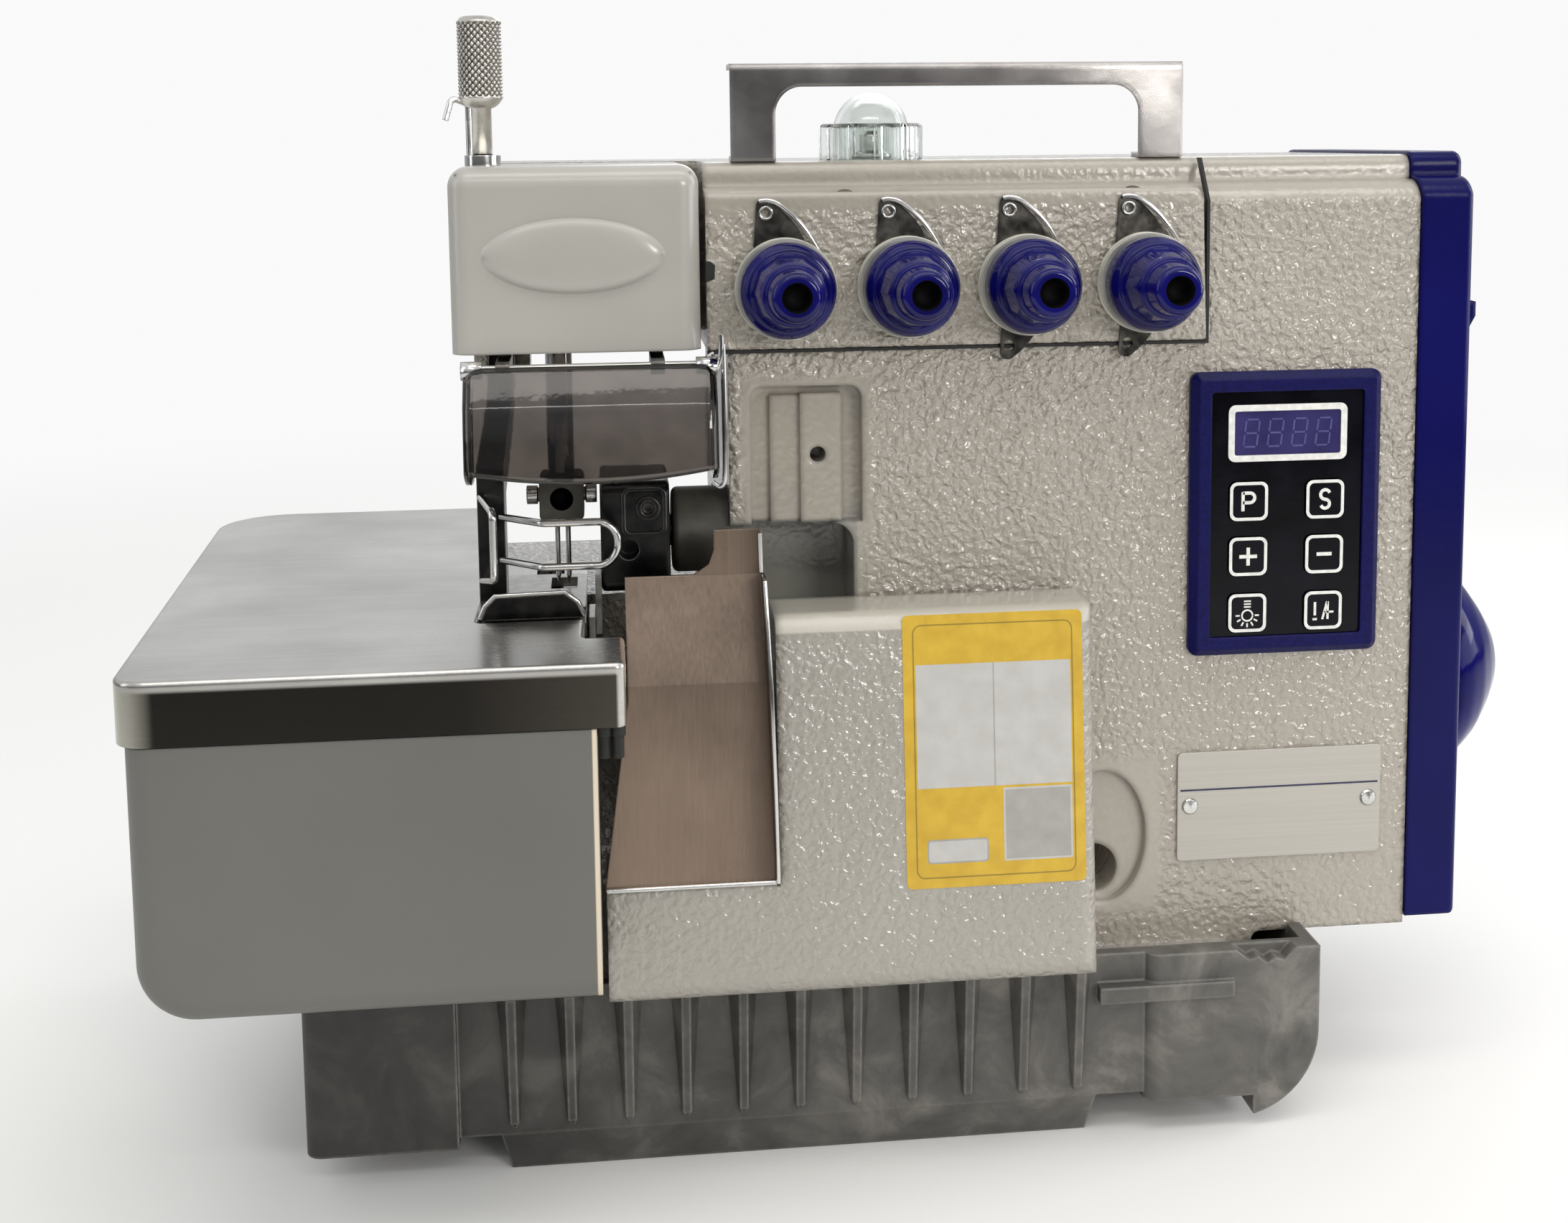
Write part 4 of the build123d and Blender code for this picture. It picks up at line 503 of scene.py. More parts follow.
post_front = -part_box("tension_posts")[0].y * 1000
for number, x in enumerate(tension_x, 1):
    low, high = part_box(f"tension_knob_{number}")
    knob_back, nose = -high.y * 1000, -low.y * 1000
    outer = [(0.0, 3.4), (0.0, 11.6), (0.0, 14.0), (6.4, 14.0), (9.4, 12.4), (9.6, 11.2), (11.0, 10.9),
             (20.0, 9.4), (21.4, 8.9), (21.6, 7.9)]
    outer = [(knob_back + step, radius) for step, radius in outer] + [(nose - 1.2, 7.1), (nose, 6.0), (nose, 4.3)]
    body = lathe("knob_body", rounded(outer, 1.3, 5), 80, "Y", (x, 0, tension_z), [blue_plastic], knob_grip)
    bore_floor = max(nose - 8.0, post_front + 0.2)
    bore = lathe("bore_painted_shade", [(nose - 0.02, 4.32), (nose - 0.4, 4.0), (bore_floor, 3.7), (bore_floor, 0.0)], 40,
                 "Y", (x, 0, tension_z), [bore_painted_shade])
    knob = join(f"tension_knob_{number}_moulding", [body, bore])
    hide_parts(f"tension_knob_{number}")
    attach(knob, f"tension_knob_{number}")

# A black strip under and beside the cover, up over the sloping front of the crown, is painted shadow for the dark
# gap between cover and frame.
crown_bend = 285.5


def crown_lean(px, pz):
    """How far the crown's sloping front lies behind its upright part at this height."""
    return max(0.0, pz - crown_bend) * 9 / 13


low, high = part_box("tension_cover_plate")
x0, x1, z0, cover_y = low.x * 1000, high.x * 1000, low.z * 1000, low.y * 1000
seam = [(x0, z0 - 0.9), (x1 + 0.9, z0 - 0.9), (x1 + 0.9, crown_bend), (x1 + 0.9, 298.2), (x1, 298.2),
        (x1, crown_bend), (x1, z0), (x0, z0)]
gap_shadow_strip = slab("tension_cover_gap_shadow", seam, [], -61.35, 2.6, rubber_and_shadow_black, crown_lean)
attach(gap_shadow_strip, "frame")

# A black notch shape on the cover's left edge is painted shadow for the dark gap behind it, and two screw holes in
# its top edge are plugged.
notch = [(x0 - 0.1, 263.6), (x0 + 2.4, 264.6), (x0 + 2.6, 268.6), (x0 + 1.2, 269.8), (x0 - 0.1, 269.8)]
marks = [slab("painted_notch_shadow", notch, [], cover_y - 0.05, 0.1, rubber_and_shadow_black)]
for plug_x in (6.4, 93.5):
    rim = [(plug_x + 2.7 * cos(radians(t)), 288.7 + 1.5 * sin(radians(t))) for t in range(0, 360, 15)]
    marks.append(slab("plug", rim, [], cover_y + 0.1, 0.3, bush_grey, crown_lean))
notch_shadow_and_plugs = join("tension_cover_marks", marks)
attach(notch_shadow_and_plugs, "frame")

# Thread bracket: a bridge folded from sheet steel that stands on the crown on two turned feet.
# Chrome plated after bending, so it mirrors the room, with a little haze from handling.

coat(uneven("hazed_chrome_plate", (29.4, 5.0), [(0.3, "#8F8A88"), (0.7, "#B9B5B2")], gloss=(0.1, 0.24, 0.3, 0.7),
            edge=1.8, skin=(0.08, 1.6), Roughness=0.2, Metallic=1.0), "thread_bracket")

# Oil sight: a clear fluted ring screwed into the crown, with a clear dome that shows the oil spraying under it.
# Moulded acrylic, polished by the mould, bright where its thick edges gather light.


def clear_plastic(name, tint, rough, film_tone):
    """Clear moulded plastic with faint flow lines, mostly see-through and a little cloudy."""
    return uneven(name, (8.33, 3.0), [(0.3, tint), (0.75, film_tone)], skin=(0.12, 0.5), Roughness=rough,
                  IOR=1.49, Transmission_Weight=1.0, Base_Color=linear(tint))


coat(clear_plastic("clear_acrylic", "#F4F6F4", 0.04, "#E2E6E4"), "oil_sight_ring", "oil_sight_dome")
for name in ("oil_sight_ring", "oil_sight_dome"):
    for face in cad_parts[name].data.polygons:
        face.use_smooth = False
nipple = rounded([(298.8, 0.0), (298.8, 6.4), (300.4, 6.4), (301.2, 3.6), (306.0, 3.2),
                  (307.6, 2.2), (307.6, 0.0)], 0.6)
jet = lathe("oil_jet_nipple", nipple, 40, "Z", (18.2, -32.0, 0), [bright_chrome])
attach(jet, "frame")

# Control panel: a bevelled frame of moulded blue plastic round a glossy black membrane with six keys.
# The white lines are printed on the clear membrane's back; the display is a dark window with unlit digits.

coat(uneven("moulded_blue_bezel", (1.11, 2.0), [(0.3, "#0A0A3E"), (0.7, "#121150")], edge=0.9,
            skin=(0.2, 0.2), Roughness=0.3, IOR=1.5, Specular_IOR_Level=0.15), "panel_bezel")
coat(uneven("black_membrane", (11.1, 4.0), [(0.3, "#060608"), (0.75, "#101018")], gloss=(0.04, 0.18),
            skin=(0.1, 0.6), Roughness=0.08, IOR=1.5, Specular_IOR_Level=0.16),
     "panel_face", "key_p", "key_s", "key_plus", "key_minus", "key_lamp", "key_needle")
coat(uneven("unlit_display_window", (16.7, 2.0), [(0.3, "#26244F"), (0.7, "#3B3668")], Roughness=0.07, IOR=1.5),
     "panel_display")
print_white = uneven("white_printed_line", (2.0, 2.0), [(0.3, "#D4D3CE"), (0.7, "#ECEBE6")], Roughness=0.4)
faint_print = uneven("unlit_segment", (3.33,), [(0.3, "#48467A"), (0.7, "#56548A")], Roughness=0.2)


def round_rect(cx, cz, width, height, radius, steps=5):
    """Outline of a rectangle with rounded corners."""
    points = []
    for sx, sz, start in ((1, 1, 0), (-1, 1, 90), (-1, -1, 180), (1, -1, 270)):
        for k in range(steps + 1):
            turn = radians(start + 90 * k / steps)
            points.append((cx + sx * (width / 2 - radius) + radius * cos(turn),
                           cz + sz * (height / 2 - radius) + radius * sin(turn)))
    return points


def stroke(points, width):
    """Outline of a line of even width through X, Z points."""
    left, right = [], []
    for i, (px, pz) in enumerate(points):
        before, after = points[max(i - 1, 0)], points[min(i + 1, len(points) - 1)]
        way = Vector((after[0] - before[0], after[1] - before[1])).normalized()
        left.append((px - way.y * width / 2, pz + way.x * width / 2))
        right.append((px + way.y * width / 2, pz - way.x * width / 2))
    return left + right[::-1]


def arc(cx, cz, r, start, end, steps=10):
    """Points of an arc in degrees."""
    turns = [radians(start + (end - start) * k / steps) for k in range(steps + 1)]
    return [(cx + r * cos(turn), cz + r * sin(turn)) for turn in turns]


def key_lines(mark):
    """Lines of one key's generic mark about its centre, each as points and a width in mm."""
    if mark == "p":
        return [([(-1.9, -3.0), (-1.9, 2.9)], 1.0),
                ([(-1.9, 2.6)] + arc(0.3, 1.1, 1.5, 90, -90) + [(-1.9, -0.4)], 1.0)]
    if mark == "s":
        return [(arc(0, 1.4, 1.5, 20, 270) + arc(0, -1.5, 1.4, 90, -160), 1.0)]
    if mark == "plus":
        return [([(-2.8, 0), (2.8, 0)], 1.1), ([(0, -2.8), (0, -0.6)], 1.1), ([(0, 0.6), (0, 2.8)], 1.1)]
    if mark == "minus":
        return [([(-2.4, 0), (2.4, 0)], 1.1)]
    if mark == "lamp":
        rays = [(arc(0, -0.8, 2.4, a, a, 1)[:1] + arc(0, -0.8, 3.7, a, a, 1)[:1], 0.5)
                for a in (-150, -120, -90, -60, -30, 0, 180)]
        cap = [([(-1.1, 1.9 + k * 0.9), (1.1, 1.9 + k * 0.9)], 0.45) for k in range(3)]
        return rays + [(arc(0, -0.8, 1.7, 0, 354, 20), 0.5)] + cap
    return [([(-2.6, 2.6), (-2.6, -1.6)], 0.8), ([(-3.3, -2.8), (-1.9, -2.8)], 0.7),
            ([(-0.2, -2.9), (1.3, 2.7)], 0.7), ([(1.5, 2.7), (1.5, -2.9)], 0.7), ([(0.4, -0.6), (3.4, -0.6)], 0.6)]


panel_x = (111.8 + 172.0) / 2
key_side = 12.1
for mark, side, kz in (("p", -1, 193.5), ("s", 1, 193.5), ("plus", -1, 176.3), ("minus", 1, 176.3),
                       ("lamp", -1, 158.6), ("needle", 1, 158.6)):
    kx = panel_x + side * key_side
    face_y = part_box(f"key_{mark}")[0].y * 1000 - 0.05
    prints = [slab("outline", round_rect(kx, kz, 12.0, 12.0, 2.2), [round_rect(kx, kz, 10.1, 10.1, 1.5)], face_y,
                   0.1, print_white)]
    for points, width in key_lines(mark):
        line = stroke([(kx + px, kz + pz) for px, pz in points], width)
        prints.append(slab("mark", line, [], face_y, 0.1, print_white))
    printed = join(f"key_{mark}_print", prints)
    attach(printed, f"key_{mark}")

window_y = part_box("panel_display")[0].y * 1000
window_z = 214.5
window = slab("display_frame", round_rect(panel_x, window_z, 37.5, 17.5, 2.2),
              [round_rect(panel_x, window_z, 33.6, 13.6, 0.8)], window_y - 0.05, 0.3, print_white)
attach(window, "frame")
# Four digits 7.6 mm apart, of seven bars each, leaning to the right.
bars = [((-1.7, z), (1.7, z)) for z in (4.2, 0, -4.2)]
bars += [((x, low), (x, high)) for low, high in ((0.5, 3.8), (-3.8, -0.5)) for x in (-2.1, 2.1)]
digits = []
for k in range(4):
    digit_x = panel_x - 11.4 + k * 7.6
    for bar in bars:
        ends = [(digit_x + px + 0.12 * pz, window_z + pz) for px, pz in bar]
        digits.append(slab("segment", stroke(ends, 0.55), [], window_y + 0.19, 0.04, faint_print))
segments = join("display_segments", digits)
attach(segments, "frame")

# Rating plate: a thin aluminium plate held by two domed rivets, left without any words.
# Clear-anodised sheet with a fine brushed grain, a printed line across it and rounded corners.

coat(uneven("anodised_aluminium_plate", ((83.3, 0.667, 0.667), 3.0), [(0.3, "#B4B0A8"), (0.7, "#BBB7AF")],
            edge=0.4, skin=(0.05, 0.2), Roughness=0.4, Metallic=0.55), "rating_plate")
coat(bright_chrome, "plate_rivets")
dark_line = uneven("dark_printed_line", (2.5,), [(0.3, "#2A2945"), (0.7, "#3C3A58")], Roughness=0.5)
divider = slab("rating_plate_line", [(110.2, 101.6), (174.2, 101.6), (174.2, 102.2), (110.2, 102.2)], [],
               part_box("rating_plate")[0].y * 1000 - 0.03, 0.06, dark_line)
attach(divider, "frame")

# Head cover: the cap over the needle bar's crank, with a raised lens-shaped boss left bare.
# Die-cast and sprayed with smooth grey gloss enamel, which shows only a slight orange peel.

smooth_grey = uneven("grey_gloss_enamel", (62.5, 2.0), [(0.3, "#A6A39C"), (0.7, "#B0ADA6")], edge=1.2,
                     skin=(0.1, 0.2), peel=(1.67, 1.0), Roughness=0.24, IOR=1.5, Coat_Weight=0.4,
                     Coat_Roughness=0.12)
coat(smooth_grey, "head_cover")

# The boss is a pillow with an oval outline, nearly flat in its middle and rolled down at its rim.
boss_x, boss_z, boss_back, proud = -73.3, 272.5, -71.0, 1.7
around, across = 120, 16
build = bmesh.new()
rings = []
for j in range(across):
    s = 1.0 - j / across
    rise = proud * (1 - s ** 8) ** 0.5 + proud * 0.3 * (1 - s ** 2)
    ring = []
    for k in range(around):
        t = 2 * pi * k / around
        px, pz = 26.2 * cos(t), 10.8 * sin(t) * (1.0 - 0.10 * cos(t) ** 4)
        ring.append(build.verts.new(((boss_x + px * s) / 1000, (boss_back - rise) / 1000,
                                     (boss_z + pz * s) / 1000)))
    rings.append(ring)
rings.append([build.verts.new((boss_x / 1000, (boss_back - 1.3 * proud) / 1000, boss_z / 1000))])
for a, b in zip(rings, rings[1:]):
    span(build, a, b)
boss = built("head_cover_boss", build, [smooth_grey], True)
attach(boss, "frame")

# Eye guard: a clear shield over the needles that swings up on a wire hinge under the head cover.
# Bent acrylic sheet, slightly smoked and a little cloudy; the hinge is bright wire.

smoked = clear_plastic("smoked_acrylic", "#5E5650", 0.05, "#4E4742")


def guard_front_y(pz):
    """Y of the bent front sheet at this height: it leans out under the hinge and then hangs nearly straight."""
    bends = [(200.0, -87.6), (212.0, -87.4), (224.0, -86.2), (231.0, -84.6), (237.0, -80.4), (243.0, -75.8)]
    for (z0, y0), (z1, y1) in zip(bends, bends[1:]):
        if pz <= z1:
            return y0 + (y1 - y0) * (pz - z0) / (z1 - z0)
    return bends[-1][1]


# The sheet's outline seen from above: left wing, bent corner, front, bent corner, right wing.
left, right, corner, wing_back = -105.2, -33.3, 3.0, -61.0
bend = [(corner * (1 - cos(radians(a))), -corner * (sin(radians(a)) - 1)) for a in range(0, 91, 15)]
path = [(left, 1.0 - k / 10, True) for k in range(10)]
path += [(left + inward, back, False) for inward, back in bend]
path += [(left + corner + (right - left - 2 * corner) * k / 24, 0.0, False) for k in range(1, 24)]
path += [(right - inward, back, False) for inward, back in bend[::-1]]
path += [(right, k / 10, True) for k in range(1, 11)]
build = bmesh.new()
columns = []
for px, reach, wing in path:
    across = (px - (left + right) / 2) / ((right - left) / 2)
    low_z, high_z = 209.2 + 3.4 * across ** 2, 241.6 - 3.0 * max(0.0, abs(across) - 0.9) / 0.1
    if wing:
        low_z, high_z = 206.6 + 6.0 * (1 - reach) ** 3, 236.0
    column = []
    for row in range(19):
        pz = low_z + (high_z - low_z) * row / 18
        front = guard_front_y(pz)
        depth = (front + corner) * (1 - reach) + wing_back * reach if wing else front + reach
        column.append(build.verts.new((px / 1000, depth / 1000, pz / 1000)))
    columns.append(column)
for a, b in zip(columns, columns[1:]):
    for row in range(18):
        build.faces.new((a[row], b[row], b[row + 1], a[row + 1]))
bmesh.ops.recalc_face_normals(build, faces=build.faces[:])
bmesh.ops.solidify(build, geom=build.faces[:], thickness=0.0014)
shield = built("eye_guard_sheet", build, [smoked])
for face in shield.data.polygons:
    # The narrow faces of the sawn edge stay flat.
    face.use_smooth = len(face.vertices) == 4 and face.area > 1.2e-6
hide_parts("eye_guard")
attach(shield, "eye_guard")
knuckles = []
for x0 in (-105.8, -39.0):
    tube = [(x0, 1.6), (x0, 2.7), (x0 + 6.0, 2.7), (x0 + 6.0, 1.6), (x0, 1.6)]
    knuckles.append(lathe("knuckle", tube, 32, "X", (0, -74.5, 240.5), [bright_chrome]))
hinge = join("eye_guard_knuckles", knuckles)
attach(hinge, "eye_guard")
spring = wire("spring", [(-31.6, -73.0, 249.5), (-31.4, -73.2, 244.0), (-33.4, -73.4, 238.0),
                         (-36.4, -71.4, 237.4), (-37.0, -70.6, 241.8), (-33.6, -70.6, 243.6)], 0.8, bright_chrome)
rod = wire("rod", [(-31.0, -71.6, 246.5), (-31.0, -72.4, 238.0), (-30.9, -72.6, 222.0), (-30.9, -72.6, 209.0),
                   (-31.2, -72.4, 205.4), (-33.0, -72.0, 204.2), (-34.6, -71.6, 206.0)], 0.8, bright_chrome)
hinge_wires = join("guard_hinge_wires", [spring, rod])
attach(hinge_wires, "frame")

# Needle bar, clamp and needles: the bar slides in the head and carries a block that screws hold both needles in.
# Ground steel with a bright face, like the pins, wires and nuts round it; the block is phosphated.

coat(bright_chrome, "guard_pin", "needle_bar", "needles", "pressure_locknut", "wire_thread_guide", "cover_screws",
     "finger_guard")
# The clamp's screw socket is lined near-black, as painted shade in the hole.
clamp_x, socket_z = -79.0, 197.6
clamp = [slab("clamp_block", round_rect(clamp_x, 197.9, 13.4, 13.6, 1.6),
              [arc(clamp_x, socket_z, 3.5, 0, 352, 44)], -40.2, 13.0, bush_grey),
         lathe("clamp_socket", [(46.6, 3.5), (44.6, 3.4), (40.0, 3.2), (40.0, 0.0)], 40, "Y",
               (clamp_x, 0, socket_z), [bore_painted_shade])]
for x0, way in ((-85.6, -1), (-72.4, 1)):
    screw = [(0.0, 0.0), (0.0, 2.2), (0.6, 2.2), (0.6, 2.9), (4.0, 2.9), (4.0, 0.0)]
    screw = rounded([(x0 + way * step, radius) for step, radius in screw], 0.4)
    clamp.append(lathe("clamp_screw", screw, 40, "X", (0, -42.0, 198.4), [bright_chrome]))
clamp_piece = join("needle_clamp_detail", clamp)
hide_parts("needle_clamp")
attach(clamp_piece, "needle_bar")

# Upper knife and presser: a rocking arm that carries the blade, and a cranked arm with the sewing foot.
# Blued steel, rubbed bare on its edges; the foot is turned steel with a polished toe.

blued = uneven("blued_steel", (6.25, 4.0), [(0.3, "#1B1B1C"), (0.7, "#353433")], gloss=(0.16, 0.42), edge=0.6,
               skin=(0.08, 0.2), Roughness=0.3, Metallic=0.9)
overlay(blued, sharp_edge_mask(blued.node_tree, 0.5), "#8B8984")
coat(blued, "upper_knife_arm", "presser_arm")
coat(turned, "presser_foot")
coat(bush_grey, "arm_bushing")
# The knife arm's front has a shallow pocket with a raised rim and a socket screw in it.
low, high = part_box("upper_knife_arm")
arm_x, arm_z, front = -54.6, high.z * 1000 - 8.6, -low.y * 1000
rim = slab("rim", round_rect(arm_x, arm_z, 13.2, 14.6, 2.6), [round_rect(arm_x, arm_z, 11.0, 12.4, 1.8)],
           -front - 0.4, 0.8, blued)
screw = rounded([(front, 0.0), (front, 3.6), (front + 0.9, 3.6), (front + 0.9, 1.9), (front + 0.1, 1.8),
                 (front + 0.1, 0.0)], 0.3)
screw = lathe("screw", screw, 40, "Y", (arm_x + 1.2, 0, arm_z + 1.0), [blued])
knife_marks = join("upper_knife_arm_front", [rim, screw])
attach(knife_marks, "upper_knife")
# The foot's toe is turned up and flares out at both ends; its edge is bright.
low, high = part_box("presser_foot")
y, z = low.y * 1000 - 0.4, low.z * 1000 + 0.4
toe = [(-103.2, z), (-72.6, z), (-74.6, z + 4.6), (-78.0, z + 7.6), (-98.6, z + 7.0), (-101.6, z + 4.0)]
toe_edge = [(-103.0, y - 0.2, z + 0.6), (-101.4, y - 0.3, z + 4.2), (-98.4, y - 0.4, z + 7.2),
            (-88.0, y - 0.4, z + 7.6), (-78.2, y - 0.4, z + 7.8), (-74.4, y - 0.3, z + 4.8),
            (-72.4, y - 0.2, z + 0.6)]
foot_toe = join("presser_foot_toe", [slab("toe", toe, [], y, 0.8, blued),
                                     wire("toe_edge", toe_edge, 0.65, bright_chrome, smooth=False)])
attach(foot_toe, "presser_foot")

# Presser regulator: a knurled thumb screw with a polished neck that sets the foot's pressure.
# Turned steel, diamond knurled and nickel plated.

knurl_low, knurl_high = 318.0, 339.2
regulator_x, regulator_y = -98.9, -56.0


def diamond_knurl(radius, along, turn):
    """Crossed grooves about 2 mm apart over the grip."""
    if knurl_low < along < knurl_high:
        lead = along * pi / 2.0
        cut = abs(sin(turn * 10 + lead)) * abs(sin(turn * 10 - lead))
        return radius - 0.55 * (1 - cut)
    return radius


nickel = uneven("nickel_plated_steel", (5.0, 4.0), [(0.3, "#B4B1AA"), (0.7, "#D2CFC8")], gloss=(0.16, 0.36),
                skin=(0.06, 0.2), Roughness=0.24, Metallic=1.0)
# The grooves are coloured dark below the diamonds' tops.
tree = nickel.node_tree
place = add(tree, "TexCoord").outputs["Object"]
axis = (-regulator_x / 1000, -regulator_y / 1000, 0.0)
from_axis = add(tree, "VectorMath", {0: place, 1: axis}, operation="ADD")
flat = add(tree, "VectorMath", {0: from_axis, 1: (1.0, 1.0, 0.0)}, operation="MULTIPLY")
spread = add(tree, "VectorMath", {0: flat}, operation="LENGTH")
groove = add(tree, "MapRange", {"Value": spread, "From Min": 0.00622, "From Max": 0.0059})
band = inside(tree, [((-110, -70, knurl_low), (-90, -40, knurl_high))], 0.2)
grooves_darkened = add(tree, "Math", {0: groove, 1: band}, operation="MULTIPLY")
overlay(nickel, grooves_darkened, "#57524C")
low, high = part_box("pressure_knob")
foot, top = low.z * 1000, high.z * 1000
grip = [(foot, 0.0), (foot, 2.15), (294.0, 2.15), (294.2, 2.88), (314.6, 2.88), (315.2, 4.2), (316.0, 5.2),
        (317.6, 6.3)]
grip += [(317.9 + k * 0.2, 6.38) for k in range(108)] + [(339.6, 6.2), (340.6, 5.4), (top, 4.4), (top, 0.0)]
knurled = lathe("pressure_knob_turned", grip, 200, "Z", (regulator_x, regulator_y, 0), [nickel], diamond_knurl)
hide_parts("pressure_knob")
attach(knurled, "pressure_knob")

# Needle plate and cloth plate: the sheets that the work slides over.
# Stainless steel, brushed along its length and clouded by wear.


def stainless(name, along, light, dark, rough):
    """Brushed stainless sheet: fine grain along one axis under wide clouds of wear."""
    fine = tuple(71.4 if k == along else 0.714 for k in range(3))
    return uneven(name, (45.5, 4.0), [(0.45, dark), (0.9, light)], gloss=(rough - 0.07, rough + 0.09, 0.4, 0.95),
                  edge=0.6, skin=(0.05, 0.1), peel=(fine, 3.0), peel_shows=0.35, Roughness=rough, Metallic=1.0)


coat(stainless("ground_needle_plate", 1, "#C9C7C2", "#A4A29D", 0.2), "needle_plate")
plate_steel = stainless("brushed_stainless_plate", 0, "#CFCDC8", "#A9A6A1", 0.24)
# The turned-down rim is mirror bright; it is painted dark as a painted reflection of the dark room below, paler
# near its left end, and its right end is left pale as a painted highlight.
tree = plate_steel.node_tree
low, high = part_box("cloth_plate")
place = add(tree, "TexCoord").outputs["Object"]
parts = add(tree, "SeparateXYZ", {"Vector": place})
rim = add(tree, "MapRange", {"Value": parts.outputs["Z"], "From Min": high.z - 0.0022,
                             "From Max": high.z - 0.0034}, interpolation_type="SMOOTHSTEP")
# Painted highlight: the right end is kept out of the dark rim.
right_end_highlight_box = inside(tree, [((-63.4, -130, 140), (-60.0, -110, 170))], 0.8)
rim_reflection_mask = add(tree, "Math", {0: rim, 1: right_end_highlight_box}, operation="SUBTRACT", use_clamp=True)
share = add(tree, "MapRange", {"Value": parts.outputs["X"], "From Min": low.x, "From Max": high.x})
rim_painted_reflection = add(tree, "ValToRGB", {"Fac": share}, [
    (0.0, "#6A6860"), (0.05, "#C4C2B6"), (0.11, "#A3A197"),
    (0.15, "#2C2A27"), (0.7, "#2C2A27"), (1.0, "#4C4842")])
overlay(plate_steel, rim_reflection_mask, rim_painted_reflection)
coat(plate_steel, "cloth_plate")
# Two black rubber stops hang under the plate's right end.
peg = rounded([(141.6, 0.0), (141.6, 1.5), (147.6, 1.5), (147.8, 2.0), (150.8, 2.0), (150.8, 0.0)], 0.4)
plate_stops = join("cloth_plate_stops", [lathe("stop", peg, 28, "Z", (x, -123.4, 0), [rubber_and_shadow_black])
                                         for x in (-67.4, -63.8)])
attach(plate_stops, "cloth_plate")

# Waste chute: the sheet that trimmings fall along, with its right side turned up and its cut edges rolled over.
# Brushed stainless steel; a lip runs along the bottom and a bead down the right side, both polished.

chute_steel = stainless("brushed_stainless_chute", 2, "#978576", "#7D6D61", 0.3)
# The bend beside the turned-up side is painted dark, as painted shade.
tree = chute_steel.node_tree
place = add(tree, "TexCoord").outputs["Object"]
along = add(tree, "SeparateXYZ", {"Vector": place}).outputs["X"]
bend = add(tree, "MapRange", {"Value": along, "From Min": -0.031, "From Max": -0.0195, "To Max": 0.62},
           interpolation_type="SMOOTHSTEP")
overlay(chute_steel, bend, "#3E342C")
coat(chute_steel, "waste_chute")
edges = [("lip", [(-68.0, -92.1, 91.9), (-43.0, -92.1, 91.9), (-18.4, -92.1, 91.9)], 0.75),
         ("bead", [(-18.8, -94.0, 92.4), (-19.3, -93.7, 120.0), (-20.1, -93.2, 149.5),
                   (-21.0, -86.2, 179.4)], 0.65),
         ("tab", [(-21.4, -78.4, 180.2), (-21.5, -78.5, 186.0), (-21.6, -78.5, 191.8)], 0.7)]
rolled = join("chute_rolled_edges", [wire(name, points, radius, bright_chrome, smooth=False)
                                     for name, points, radius in edges])
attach(rolled, "looper_cover")

# Left cover: the deep tray under the cloth plate, open towards the needles, that swings out with it.
# Injection-moulded ABS with a fine satin grain; the sawn edge where it is open is painted pale cream as a painted
# highlight on the lit wall.

satin_grey = uneven("satin_grey_abs", (100.0, 2.0), [(0.3, "#605F5A"), (0.7, "#686762")], edge=0.8,
                    skin=(0.1, 0.2), peel=(0.91, 2.0), Roughness=0.42, IOR=1.5)
# Painted highlight: the open edge is coloured pale cream for its lit cut wall.
overlay(satin_grey, inside(satin_grey.node_tree, [((-70.6, -130, 70), (-60, -120.5, 151))], 0.4), "#D6C9B2")
coat(satin_grey, "left_cover")

# Looper cover: the folding front cover over the loopers, cut away for the chute.
# Cast aluminium in the frame's hammer enamel; its top and edges are smooth. Its top edge band is painted paler as
# a painted highlight, and its tones are a little cooler and darker than the frame's, the darkening being painted
# shade on its downward-facing front.

cover_top_edge = ((-25, -90, 163.5), (80, -60, 170))
# Painted highlight: the top edge band takes the paler tone; painted shade: the darker tones.
coat(hammer_enamel("hammer_enamel_on_looper_cover", 1.2, [cover_top_edge], ("#98938A", "#A29E93"),
                   [cover_top_edge], "#BDB8AB", 4.0), "looper_cover")

# Chart sticker on the looper cover: a plain yellow field with white and grey panels, no words.
# Printed vinyl film with rounded corners and a thin border line, slightly glossy.


def cover_lean(px, pz):
    """How far behind the cover's lowest front edge its sloping face lies at this height."""
    return (pz - 58.0) * 11.0 / 110.0


def vinyl(name, low_tone, high_tone):
    """Printed vinyl film with a faint unevenness of ink."""
    return uneven(name, (5.56, 3.0), [(0.3, low_tone), (0.7, high_tone)], skin=(0.1, 0.2),
                  Roughness=0.33, IOR=1.5)


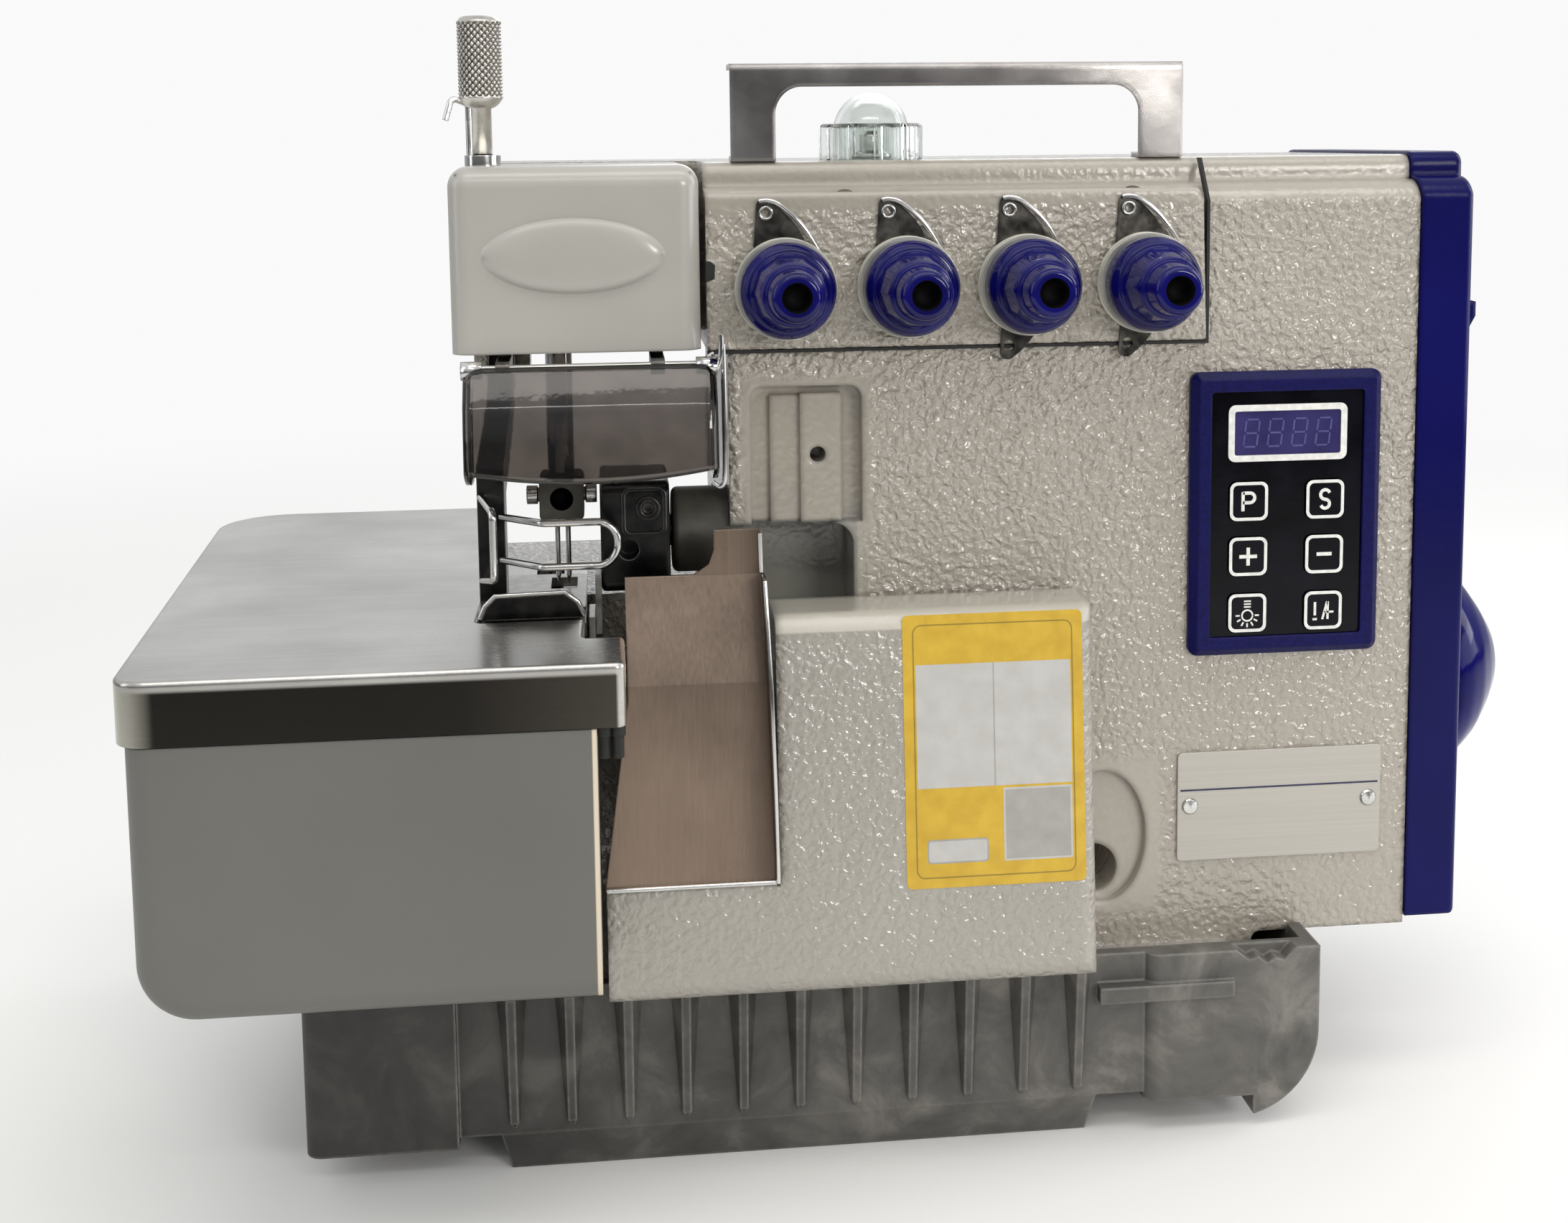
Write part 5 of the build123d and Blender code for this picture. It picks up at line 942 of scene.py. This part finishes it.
yellow = vinyl("yellow_vinyl", "#BF9A2C", "#CEAA36")
white = vinyl("white_vinyl", "#B3B1AC", "#BDBBB7")
pale = vinyl("grey_vinyl", "#989690", "#A4A29C")
olive = vinyl("olive_border_ink", "#8A7228", "#967E2E")
film_y, print_y, over_print_y = -95.12, -95.21, -95.24
label_x, label_z, chart_z = 45.6, 127.3, 134.6
fields = [slab("field", round_rect(label_x, label_z, 53.4, 79.6, 1.6), [], film_y, 0.14, yellow, cover_lean),
          slab("border", round_rect(label_x, label_z, 47.6, 74.0, 2.6),
               [round_rect(label_x, label_z, 46.8, 73.2, 2.2)], -95.2, 0.04, olive, cover_lean)]
for x, z, width, height, corner, y, tone in (
        (label_x, chart_z, 46.0, 36.0, 0.2, print_y, white),
        (label_x, chart_z, 0.4, 36.0, 0.1, over_print_y, pale),
        (58.2, 105.2, 20.6, 21.4, 0.3, print_y, white), (58.2, 105.2, 19.4, 20.2, 0.2, over_print_y, pale),
        (34.2, 98.1, 18.2, 7.0, 1.2, print_y, pale), (34.2, 98.1, 17.2, 6.0, 0.8, over_print_y, white)):
    fields.append(slab("panel", round_rect(x, z, width, height, corner), [], y, 0.04, tone, cover_lean))
sticker = join("chart_sticker", fields)
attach(sticker, "looper_cover")

# Room: a pale sheet under the machine in a white room, lit softly by seven lamps and windows on all sides.
# The sheet keeps the machine's shadow and is as bright as paper.

paper, tree, surface = finish("pale_floor", Roughness=0.8, Base_Color=linear("#E9E8E5"), Specular_IOR_Level=0.2)
# Past half a metre the sheet thins out to nothing, so no horizon shows against the white room.
spot = add(tree, "TexCoord").outputs["Object"]
reach = add(tree, "VectorMath", {0: spot}, operation="LENGTH")
thin = add(tree, "MapRange", {"Value": reach, "From Min": 0.5, "From Max": 1.5}, interpolation_type="SMOOTHSTEP")
nothing = add(tree, "BsdfTransparent")
faded = add(tree, "MixShader", {0: thin, 1: surface, 2: nothing})
feed(tree, tree.nodes["Material Output"].inputs["Surface"], faded)
build = bmesh.new()
bmesh.ops.create_grid(build, x_segments=2, y_segments=2, size=6.0)
floor = built("floor_sheet", build, [paper])
floor.location = (0, 0, -0.0002)
floor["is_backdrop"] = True

world = bpy.data.worlds.new("pale_room")
world.use_nodes = True
bpy.context.scene.world = world
tree = world.node_tree
tree.nodes.clear()
path = add(tree, "LightPath")
seen = add(tree, "Math", {0: path.outputs["Is Camera Ray"], 1: path.outputs["Is Transmission Ray"]},
           operation="MAXIMUM")
way = add(tree, "SeparateXYZ", {"Vector": add(tree, "TexCoord").outputs["Generated"]})
# Brighter overhead and behind the machine, dark below eye level on the operator's side.
behind = add(tree, "Math", {0: way.outputs["Y"], 1: 0.0}, operation="MAXIMUM")
height = add(tree, "Math", {0: behind, 1: 0.3, 2: way.outputs["Z"]}, operation="MULTIPLY_ADD")
level = add(tree, "ValToRGB", {"Fac": height}, [(0.0, 0.14), (0.07, 0.42), (0.3, 0.62), (0.6, 1.0)])
room = add(tree, "Background", {"Color": linear("#EEF0F2"), "Strength": level})
white_wall = add(tree, "Background", {"Color": (1, 1, 1, 1), "Strength": 0.95})
mixed = add(tree, "MixShader", {0: seen, 1: room, 2: white_wall})
add(tree, "OutputWorld", {"Surface": mixed})

# Name, place and aim in metres, width, height, watts and tone of each soft light.
for name, place, aim, width, height, watts, tone in (
        ("overhead", (0.05, -0.45, 1.35), (0.0, 0.0, 0.15), 1.3, 0.35, 4.5, "#FFFBF4"),
        ("right_lamp", (0.78, -1.45, 0.56), (0.05, 0.0, 0.2), 0.6, 0.22, 7.5, "#FFFDFA"),
        ("high_tube", (-0.1, -1.05, 1.1), (0.05, 0.0, 0.18), 1.2, 0.05, 2.0, "#FFFDFA"),
        ("left_side", (-1.3, -0.3, 0.6), (0.0, 0.0, 0.15), 0.4, 0.9, 2.0, "#F8FAFF"),
        ("right_window", (1.35, 0.15, 0.7), (0.1, 0.0, 0.2), 0.35, 1.0, 6.0, "#FBFBFF"),
        ("low_window", (1.2, -0.2, 0.22), (0.1, 0.0, 0.15), 0.9, 0.3, 2.6, "#FBFBFF"),
        ("back_window", (0.4, 1.3, 1.0), (0.0, 0.0, 0.2), 1.0, 0.8, 3.0, "#FFFFFF")):
    lamp = bpy.data.lights.new(name, "AREA")
    lamp.shape = "RECTANGLE"
    lamp.size, lamp.size_y = width, height
    lamp.energy = watts
    lamp.color = linear(tone)[:3]
    light = bpy.data.objects.new(name, lamp)
    bpy.context.collection.objects.link(light)
    light.location = place
    light.rotation_euler = (Vector(aim) - Vector(place)).to_track_quat("-Z", "Y").to_euler()

# The camera stands where the machine's upright and level edges in the photograph say it stood.
lens = bpy.data.cameras.new("photo_camera")
lens.sensor_width = 36.0
lens.lens = 43.97
lens.shift_x, lens.shift_y = -0.0243, -0.16
lens.clip_start = 0.01
camera = bpy.data.objects.new("photo_camera", lens)
bpy.context.collection.objects.link(camera)
camera.location = (-0.0655, -0.6224, 0.3053)
turn, look_down, roll = -6.56, 6.63, -0.58
camera.rotation_euler = (Matrix.Rotation(radians(turn), 3, "Z") @ Matrix.Rotation(radians(90 - look_down), 3, "X")
                         @ Matrix.Rotation(radians(roll), 3, "Z")).to_euler()
bpy.context.scene.camera = camera
bpy.context.scene.view_settings.view_transform = "Standard"

low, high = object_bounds()
